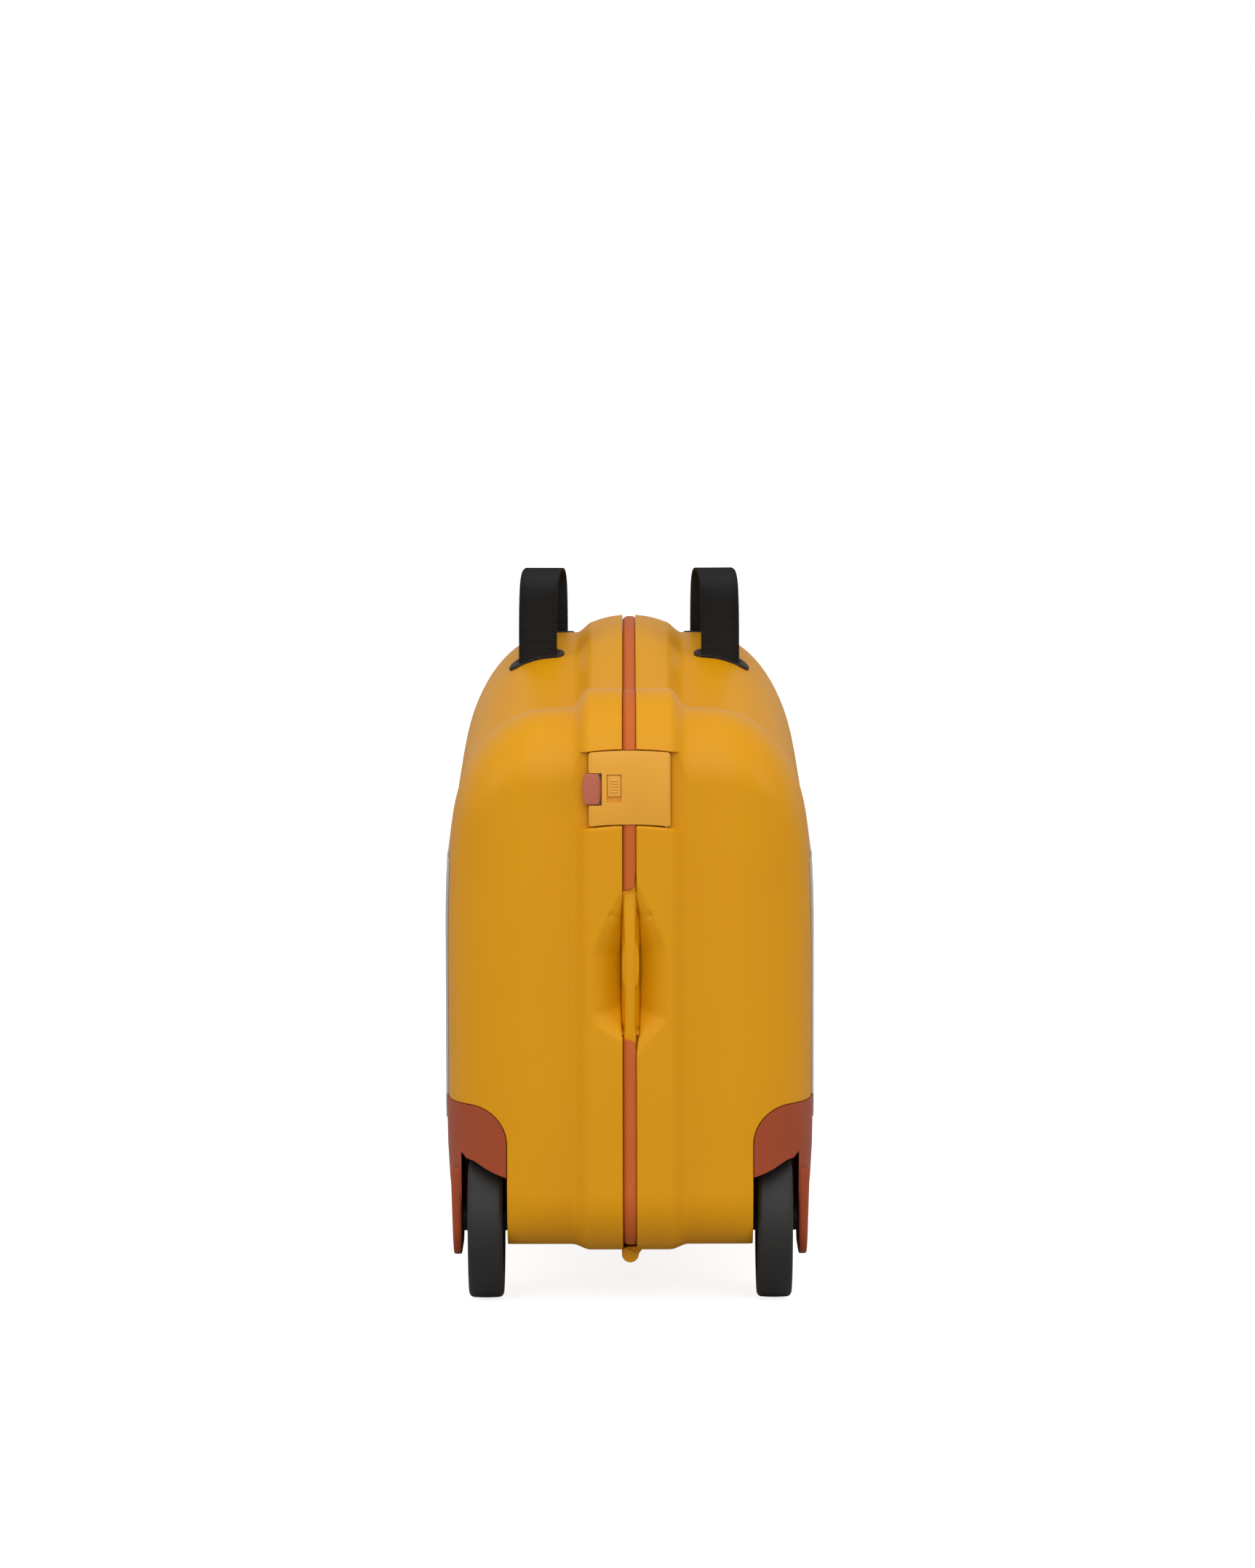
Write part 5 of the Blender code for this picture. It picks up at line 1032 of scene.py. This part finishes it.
def make_caster(side_name, side):
    """A front caster: small wheel, swivel fork and housing."""
    place = (side * CASTER_X, CASTER_Y - CASTER_TRAIL, CASTER_RADIUS)
    tyre = turned(side_name + "_small_tyre", place,
                  tyre_rings(CASTER_RADIUS, 0.0130, 0.0070, 0.0018, 0.0002), 80)
    hand_over(tyre, 40, side_name + "_caster_wheel", "rubber", side_name + "_caster_tyre")
    profile = [(0.0023, 0.0090), (0.0060, 0.0090), (0.0063, 0.0087), (0.0066, 0.0026), (0.0072, 0.0020),
               (0.0104, 0.0020), (0.0110, 0.0026), (0.0112, 0.0060), (0.0115, 0.0063), (0.0124, 0.0063),
               (0.0127, 0.0060)]
    profile = profile + [(r, -h) for r, h in reversed(profile)]
    hub = turned(side_name + "_small_centre", place, profile, 64)
    hand_over(hub, 40, side_name + "_caster_wheel", "hub", side_name + "_caster_hub")

    low = CASTER_FORK_Z
    fork = bar(side_name + "_swivel_fork", (side * CASTER_X, CASTER_Y, low),
               (side * CASTER_X, CASTER_Y, low + 0.003), 0.014, 72)
    arms = []
    for way in (-1, 1):
        x = side * CASTER_X + way * 0.01025
        ring = arc((CASTER_Y - CASTER_TRAIL, CASTER_RADIUS), (0.0055, 0.0055), 200, 350, 20)
        outline = [(CASTER_Y - 0.0112, low + 0.003)] + ring + [(CASTER_Y + 0.0084, low + 0.003)]
        arms.append(prism("arm", outline, x - 0.00125, x + 0.00125, "YZ"))
    cut(fork, joined("arms", arms), "UNION")
    cut(fork, joined("bores", [
        bar("stem_bore", (side * CASTER_X, CASTER_Y, low - 0.003),
            (side * CASTER_X, CASTER_Y, low + 0.006), 0.0033, 32),
        bar("axle_bore", (side * CASTER_X - 0.015, CASTER_Y - CASTER_TRAIL, CASTER_RADIUS),
            (side * CASTER_X + 0.015, CASTER_Y - CASTER_TRAIL, CASTER_RADIUS), 0.0023, 32)]))
    ease(fork, 0.0004, 2, 50)
    hand_over(fork, 35, side_name + "_caster_swivel", "hub", side_name + "_caster_fork")

    cup, skirt, wall = 0.0350, 0.0120, 0.0020
    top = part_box(side_name + "_caster_cup")[1].z
    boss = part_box(side_name + "_caster_cup")[0].z
    profile = [(0.0033, top), (cup, top), (cup, top - skirt + 0.0006), (cup - 0.0006, top - skirt),
               (cup - wall + 0.0006, top - skirt), (cup - wall, top - skirt + 0.0006),
               (cup - wall, top - wall - 0.0020), (cup - wall - 0.0020, top - wall),
               (0.0100, top - wall), (0.0080, top - wall - 0.0020), (0.0080, boss + 0.0004),
               (0.0076, boss), (0.0033, boss)]
    housing = turned(side_name + "_caster_housing", (side * CASTER_X, CASTER_Y, 0), profile, 96, "Z")
    cut(housing, joined("screw_holes", [
        bar("hole", (side * CASTER_X, CASTER_Y + way * 0.024, top - 0.006),
            (side * CASTER_X, CASTER_Y + way * 0.024, top + 0.002), 0.0019, 24) for way in (-1, 1)]))
    hand_over(housing, 35, side_name + "_half", "bracket", side_name + "_caster_cup")


def ribbed_band(name, line, width, thickness, across):
    """Woven webbing along a line: cross ribs in its faces and its edges."""
    length = [0]
    for a, b in zip(line, line[1:]):
        length.append(length[-1] + (b - a).length)
    steps = int(length[-1] / RIB_PITCH * 4)
    frames = []
    j = 0
    for i in range(steps + 1):
        want = length[-1] * i / steps
        while j < len(line) - 2 and length[j + 1] < want:
            j += 1
        share = (want - length[j]) / (length[j + 1] - length[j])
        frames.append(line[j].lerp(line[j + 1], share))
    rings = []
    for i, place in enumerate(frames):
        run = (frames[min(i + 1, steps)] - frames[max(i - 1, 0)]).normalized()
        out = run.cross(across).normalized()
        wave_share = math.cos(2 * math.pi * i / 4)
        t = thickness / 2 - RIB_DEPTH + RIB_DEPTH * wave_share
        w = width / 2 - RIB_DEPTH + RIB_DEPTH * wave_share
        half = [(w - 0.0006, t), (w - 0.0001, t * 0.6), (w, 0), (w - 0.0001, -t * 0.6),
                (w - 0.0006, -t), (w * 0.5, -t), (0, -t), (-w * 0.5, -t)]
        points = half + [(-a, -b) for a, b in half]
        rings.append([place + across * a + out * b for a, b in points])
    return drawn_out(name, rings)


def make_webbing(side_name, side, feet, tree):
    """A webbing loop with its two bezels."""
    middle, turn, length = loop_axis(side)
    across = Vector((math.cos(turn), math.sin(turn), 0))
    along = Vector((-math.sin(turn), math.cos(turn), 0))
    bottoms = [place.z - WALL / normal.z + WALL for place, normal in feet]
    base = max(bottoms)
    half = length / 2
    height = LOOP_TOP_Z - WEBBING_THICKNESS / 2 - base
    flat = [(-half, bottoms[0] - WALL - GAP), (-half, (bottoms[0] + base) / 2 - WALL / 2)]
    for i in range(97):
        angle = math.pi * (1 - i / 96)
        a, b = math.cos(angle), math.sin(angle)
        flat.append((half * math.copysign(abs(a) ** (2 / 3), a), base + height * abs(b) ** (2 / 3)))
    flat.append((half, bottoms[1] - WALL - GAP))
    start = Vector((middle.x, middle.y, 0))
    line = [start + along * a + Vector((0, 0, z)) for a, z in flat]
    strap = ribbed_band(side_name + "_webbing_grip", line, WEBBING_WIDTH, WEBBING_THICKNESS, across)
    hand_over(strap, 50, side_name + "_half", "webbing", side_name + "_strap")

    reach = BEZEL_LENGTH / 2 - BEZEL_RADIUS
    for foot_name, (place, normal) in zip(("front", "rear"), feet):
        proud = 0.0020 if foot_name == "front" else 0.0010
        rings = []
        for height, inset in ((-0.0012, 0), (proud - 0.0009, 0), (proud - 0.0003, 0.0003),
                              (proud, 0.0010), (proud, 0.0030), (proud, 0.0054)):
            radius = BEZEL_RADIUS - inset
            outline = arc((reach, 0), (radius, radius), -90, 90, 14)
            for share in (0.5, 0, -0.5):
                outline.append((reach * share, radius))
            outline += arc((-reach, 0), (radius, radius), 90, 270, 14)
            for share in (-0.5, 0, 0.5):
                outline.append((reach * share, -radius))
            ring = []
            for a, b in outline:
                spot = place + across * a + along * b
                under, up = surface_over(tree, spot.x, spot.y)
                ring.append(under + up * height)
            rings.append(ring)
        bezel = drawn_out(side_name + "_" + foot_name + "_slot_bezel", rings)
        cut(bezel, slot_block("slot", place, turn))
        hand_over(bezel, 35, side_name + "_half", "bezel", side_name + "_" + foot_name + "_bezel")


def make_packing_belt():
    """The belt across the left half, with its side-release buckle."""
    for name in ("packing_belt_lower", "packing_belt_upper"):
        low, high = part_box(name)
        x, y = (low.x + high.x) / 2, (low.y + high.y) / 2
        line = [Vector((x, y, low.z)), Vector((x, y, high.z))]
        belt = ribbed_band(name + "_webbing", line, BELT_WIDTH, BELT_THICKNESS, Vector((0, 1, 0)))
        hand_over(belt, 50, "left_half", "webbing", name)
    low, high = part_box("packing_buckle")
    y, z = (low.y + high.y) / 2, (low.z + high.z) / 2
    w, h = (high.y - low.y) / 2, (high.z - low.z) / 2
    outline = [(-w, -h), (w, -h), (w, -h * 0.35), (w - 0.0035, -h * 0.1), (w - 0.0035, h * 0.35),
               (w, h * 0.55), (w, h), (-w, h), (-w, h * 0.55), (0.0035 - w, h * 0.35),
               (0.0035 - w, -h * 0.1), (-w, -h * 0.35)]
    buckle = prism("side_release_buckle", [(y + a, z + b) for a, b in outline], low.x, high.x, "YZ")
    ease(buckle, 0.0012, 3)
    mouths = []
    for way in (-1, 1):
        zs = sorted((z + way * (h - 0.0083), z + way * (h + 0.01)))
        mouths.append(block("mouth", ((low.x + high.x) / 2 - 0.00105, y - 0.0128, zs[0]),
                            ((low.x + high.x) / 2 + 0.00105, y + 0.0128, zs[1])))
    cut(buckle, joined("mouths", mouths))
    prong = block("prong", (high.x - 0.0009, y - 0.0085, z - h * 0.05),
                  (high.x + 0.0004, y + 0.0085, z + h * 0.42))
    ease(prong, 0.0003, 2)
    cut(buckle, prong)
    hand_over(buckle, 35, "left_half", "bezel", "packing_buckle")


pieces = {name: [] for name in ("shell", "strip", "latch", "slider", "button", "panel", "bracket",
                                "rubber", "hub", "webbing", "bezel", "steel")}
for side_name, side in SIDES:
    edge = LEFT_EDGE if side < 0 else RIGHT_EDGE
    feet, tree = make_shell(side_name, side, edge)
    make_webbing(side_name, side, feet, tree)
    make_panel(side_name, side)
    make_bracket(side_name, side)
make_strips()
make_grip()
for end_name, end in ENDS:
    make_latch(end_name, end)
for side_name, side in SIDES:
    make_fixed_wheel(side_name, side)
    make_caster(side_name, side)
make_packing_belt()


def linear(code):
    """An sRGB hex colour as linear light."""
    values = []
    for i in (0, 2, 4):
        channel = int(code[i:i + 2], 16) / 255
        values.append(channel / 12.92 if channel <= 0.04045 else ((channel + 0.055) / 1.055) ** 2.4)
    return (*values, 1)


def add(tree, kind, values=None, links=None, **settings):
    """Add a node with its settings, its socket values and its links."""
    made = tree.nodes.new(kind)
    for key, value in settings.items():
        setattr(made, key, value)
    for socket, value in (values or {}).items():
        made.inputs[socket].default_value = value
    for socket, source in (links or {}).items():
        tree.links.new(source, made.inputs[socket])
    return made


def blank(name):
    """A new material with only its shader and output."""
    material = bpy.data.materials.new(name)
    material.use_nodes = True
    tree = material.node_tree
    return material, tree, tree.nodes["Principled BSDF"]


def feed(tree, shader, **sources):
    """Link what drives the shader's colour, roughness or normal."""
    for socket, source in sources.items():
        tree.links.new(source, shader.inputs[socket.replace("_", " ")])


def moulded(name, code, shade, roughness, grain, depth, rounding=0.0):
    """Injection-moulded plastic: an even colour with slight flow mottling, and a fine
    spark-eroded grain that breaks up the highlights without showing as dots."""
    material, tree, shader = blank(name)
    place = add(tree, "ShaderNodeTexCoord").outputs["Object"]
    flow = add(tree, "ShaderNodeTexNoise", {"Scale": 18, "Detail": 2, "Roughness": 0.5},
               {"Vector": place})
    tint = add(tree, "ShaderNodeMix", {"A": linear(code), "B": linear(shade)},
               {"Factor": flow.outputs["Fac"]}, data_type="RGBA")
    sparks = add(tree, "ShaderNodeTexNoise", {"Scale": 1 / grain, "Detail": 2, "Roughness": 0.6},
                 {"Vector": place})
    rough = add(tree, "ShaderNodeMapRange", {"From Min": 0.3, "From Max": 0.7,
                                             "To Min": roughness - 0.03, "To Max": roughness + 0.03},
                {"Value": sparks.outputs["Fac"]})
    bump = add(tree, "ShaderNodeBump", {"Strength": 0.35, "Distance": depth},
               {"Height": sparks.outputs["Fac"]})
    if rounding:
        edge = add(tree, "ShaderNodeBevel", {"Radius": rounding}, samples=4)
        tree.links.new(edge.outputs["Normal"], bump.inputs["Normal"])
    feed(tree, shader, Base_Color=tint.outputs["Result"], Roughness=rough.outputs["Result"],
         Normal=bump.outputs["Normal"])
    shader.inputs["Specular IOR Level"].default_value = 0.22
    return material


def coat(piece, material):
    """Give a piece one material all over."""
    piece.data.materials.clear()
    piece.data.materials.append(material)


def rubber_tyre(name):
    """Moulded rubber tread: near black, matt, with a faint grey bloom and a fine grain."""
    material, tree, shader = blank(name)
    place = add(tree, "ShaderNodeTexCoord").outputs["Object"]
    bloom = add(tree, "ShaderNodeTexNoise", {"Scale": 60, "Detail": 3}, {"Vector": place})
    tint = add(tree, "ShaderNodeMix", {"A": linear("151514"), "B": linear("1D1D1C")},
               {"Factor": bloom.outputs["Fac"]}, data_type="RGBA")
    grain = add(tree, "ShaderNodeTexNoise", {"Scale": 1600, "Detail": 2}, {"Vector": place})
    bump = add(tree, "ShaderNodeBump", {"Strength": 0.4, "Distance": 0.00004},
               {"Height": grain.outputs["Fac"]})
    feed(tree, shader, Base_Color=tint.outputs["Result"], Normal=bump.outputs["Normal"])
    shader.inputs["Roughness"].default_value = 0.6
    return material


def woven(name):
    """Polyester webbing: black yarn in fine columns along the band, with a soft sheen."""
    material, tree, shader = blank(name)
    place = add(tree, "ShaderNodeTexCoord").outputs["Object"]
    yarn = add(tree, "ShaderNodeTexWave", {"Scale": 180, "Distortion": 0.6, "Detail": 1},
               {"Vector": place}, bands_direction="X")
    fuzz = add(tree, "ShaderNodeTexNoise", {"Scale": 2400, "Detail": 2}, {"Vector": place})
    tint = add(tree, "ShaderNodeMix", {"A": linear("0F0F0F"), "B": linear("1A1A1A")},
               {"Factor": fuzz.outputs["Fac"]}, data_type="RGBA")
    weave = add(tree, "ShaderNodeBump", {"Strength": 0.5, "Distance": 0.00015},
                {"Height": yarn.outputs["Fac"]})
    bump = add(tree, "ShaderNodeBump", {"Strength": 0.5, "Distance": 0.0001},
               {"Height": fuzz.outputs["Fac"], "Normal": weave.outputs["Normal"]})
    feed(tree, shader, Base_Color=tint.outputs["Result"], Normal=bump.outputs["Normal"])
    shader.inputs["Roughness"].default_value = 0.55
    shader.inputs["Specular IOR Level"].default_value = 0.22
    return material


def plated(name):
    """Zinc-plated steel wire and pins: bright grey metal with faint drawn lines."""
    material, tree, shader = blank(name)
    place = add(tree, "ShaderNodeTexCoord").outputs["Object"]
    drawn = add(tree, "ShaderNodeTexNoise", {"Scale": 900, "Detail": 2}, {"Vector": place})
    rough = add(tree, "ShaderNodeMapRange", {"To Min": 0.28, "To Max": 0.42},
                {"Value": drawn.outputs["Fac"]})
    feed(tree, shader, Roughness=rough.outputs["Result"])
    shader.inputs["Base Color"].default_value = linear("B9BABB")
    shader.inputs["Metallic"].default_value = 1
    return material


coats = {
    # ABS shell: satin, evenly coloured, with a grain too fine to see from a step away
    "shell": moulded("moulded_abs_shell", "DE9A00", "DA9400", 0.45, 0.0009, 0.00002, 0.0009),
    # Soft TPE strip: matt terracotta, slightly mottled
    "strip": moulded("soft_tpe_seam_strip", "C8662A", "C05E25", 0.55, 0.0007, 0.00003, 0.0003),
    # Grained polypropylene covers: terracotta with a dull skin
    "bracket": moulded("grained_pp_corner_cover", "A44A28", "9D4424", 0.5, 0.0006, 0.00004, 0.0009),
    # Latch plate: smooth ABS, a little paler and glossier than the shell
    "latch": moulded("smooth_abs_latch", "E8A63A", "E5A236", 0.35, 0.0009, 0.00001, 0.0003),
    "slider": moulded("smooth_abs_slider", "EBA948", "E8A642", 0.38, 0.0009, 0.00001, 0.0002),
    # Release button: speckled terracotta plastic
    "button": moulded("speckled_button_plastic", "B25C44", "C06F58", 0.5, 0.0003, 0.00003, 0.0002),
    # Flank panel: pale printed sheet
    "panel": moulded("printed_flank_panel", "C6CCCE", "C0C7CA", 0.4, 0.0012, 0.00001),
    # Glass-filled nylon hubs and forks: dark grey
    "hub": moulded("nylon_wheel_centre", "3A3836", "343230", 0.5, 0.0008, 0.00003),
    # Slot bezels and buckle: black acetal
    "bezel": moulded("acetal_slot_bezel", "38302B", "2F2924", 0.5, 0.0008, 0.00002, 0.0003),
    "rubber": rubber_tyre("moulded_rubber_tyre"),
    "webbing": woven("polyester_webbing"),
    "steel": plated("zinc_plated_steel"),
}
for kind, made in pieces.items():
    for piece in made:
        coat(piece, coats[kind])

inner = moulded("pale_inner_plastic", "D8D4CC", "D0CCC4", 0.5, 0.0009, 0.00002)
for name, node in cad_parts.items():
    if not node.hide_render:
        coat(node, inner if name.endswith("latch_base") else coats["steel"])


# Each lamp's place, size in metres and watts, all aimed at the middle of the case
LAMPS_AIM = (0, 0, 0.2)
SOFTBOXES = (("front_softbox", (0.0, -3.6, 2.4), 2.6, 52),
             ("overhead_softbox", (0.0, -0.9, 2.6), 2.0, 13),
             ("left_softbox", (-2.6, -1.2, 1.3), 1.6, 12),
             ("right_softbox", (2.6, -1.2, 1.3), 1.6, 12))

# The photograph's view: a long lens, a little above the case and level to within an eighth of a degree
CAMERA_PLACE = (-0.0004, -3.7514, 0.6231)
CAMERA_DOWN = 5.25
CAMERA_ROLL = 0.118
CAMERA_LENS = 143.52


def make_stage():
    """A plain pale floor that runs to the horizon, a white surround and soft lamps."""
    leave_edit()
    bpy.ops.mesh.primitive_plane_add(size=40, location=(0, 0, 0))
    floor = named("studio_floor")
    material, tree, shader = blank("matt_white_floor")
    shader.inputs["Base Color"].default_value = (0.5, 0.5, 0.5, 1)
    shader.inputs["Roughness"].default_value = 0.9
    shader.inputs["Specular IOR Level"].default_value = 0.1
    ray = add(tree, "ShaderNodeLightPath")
    glow = add(tree, "ShaderNodeEmission", {"Color": (1, 1, 1, 1), "Strength": 0.85})
    dark = add(tree, "ShaderNodeEmission", {"Strength": 0.0})
    pick = add(tree, "ShaderNodeMixShader", links={0: ray.outputs["Is Camera Ray"], 1: dark.outputs[0],
                                                   2: glow.outputs[0]})
    both = add(tree, "ShaderNodeAddShader", links={0: shader.outputs[0], 1: pick.outputs[0]})
    tree.links.new(both.outputs[0], tree.nodes["Material Output"].inputs["Surface"])
    coat(floor, material)

    world = bpy.data.worlds.new("white_studio")
    bpy.context.scene.world = world
    world.use_nodes = True
    sky = world.node_tree
    ray = add(sky, "ShaderNodeLightPath")
    strength = add(sky, "ShaderNodeMapRange", {"To Min": 0.58, "To Max": 1.0},
                   {"Value": ray.outputs["Is Camera Ray"]})
    sky.links.new(strength.outputs["Result"], sky.nodes["Background"].inputs["Strength"])
    sky.nodes["Background"].inputs["Color"].default_value = (1, 1, 1, 1)

    for name, place, size, watts in SOFTBOXES:
        lamp = bpy.data.lights.new(name, "AREA")
        lamp.shape = "SQUARE"
        lamp.size = size
        lamp.energy = watts
        stand = bpy.data.objects.new(name, lamp)
        stand.location = place
        stand.rotation_euler = (Vector(LAMPS_AIM) - Vector(place)).to_track_quat("-Z", "Y").to_euler()
        bpy.context.scene.collection.objects.link(stand)


def make_camera():
    """A long lens from the near end, a little above the case."""
    lens = bpy.data.cameras.new("photo_camera")
    lens.lens = CAMERA_LENS
    lens.sensor_width = 36
    lens.clip_end = 100
    camera = bpy.data.objects.new("photo_camera", lens)
    camera.location = CAMERA_PLACE
    camera.rotation_euler = (math.radians(90 - CAMERA_DOWN), math.radians(CAMERA_ROLL), 0)
    bpy.context.scene.collection.objects.link(camera)
    bpy.context.scene.camera = camera


make_stage()
make_camera()
bpy.context.scene.view_settings.view_transform = "Standard"
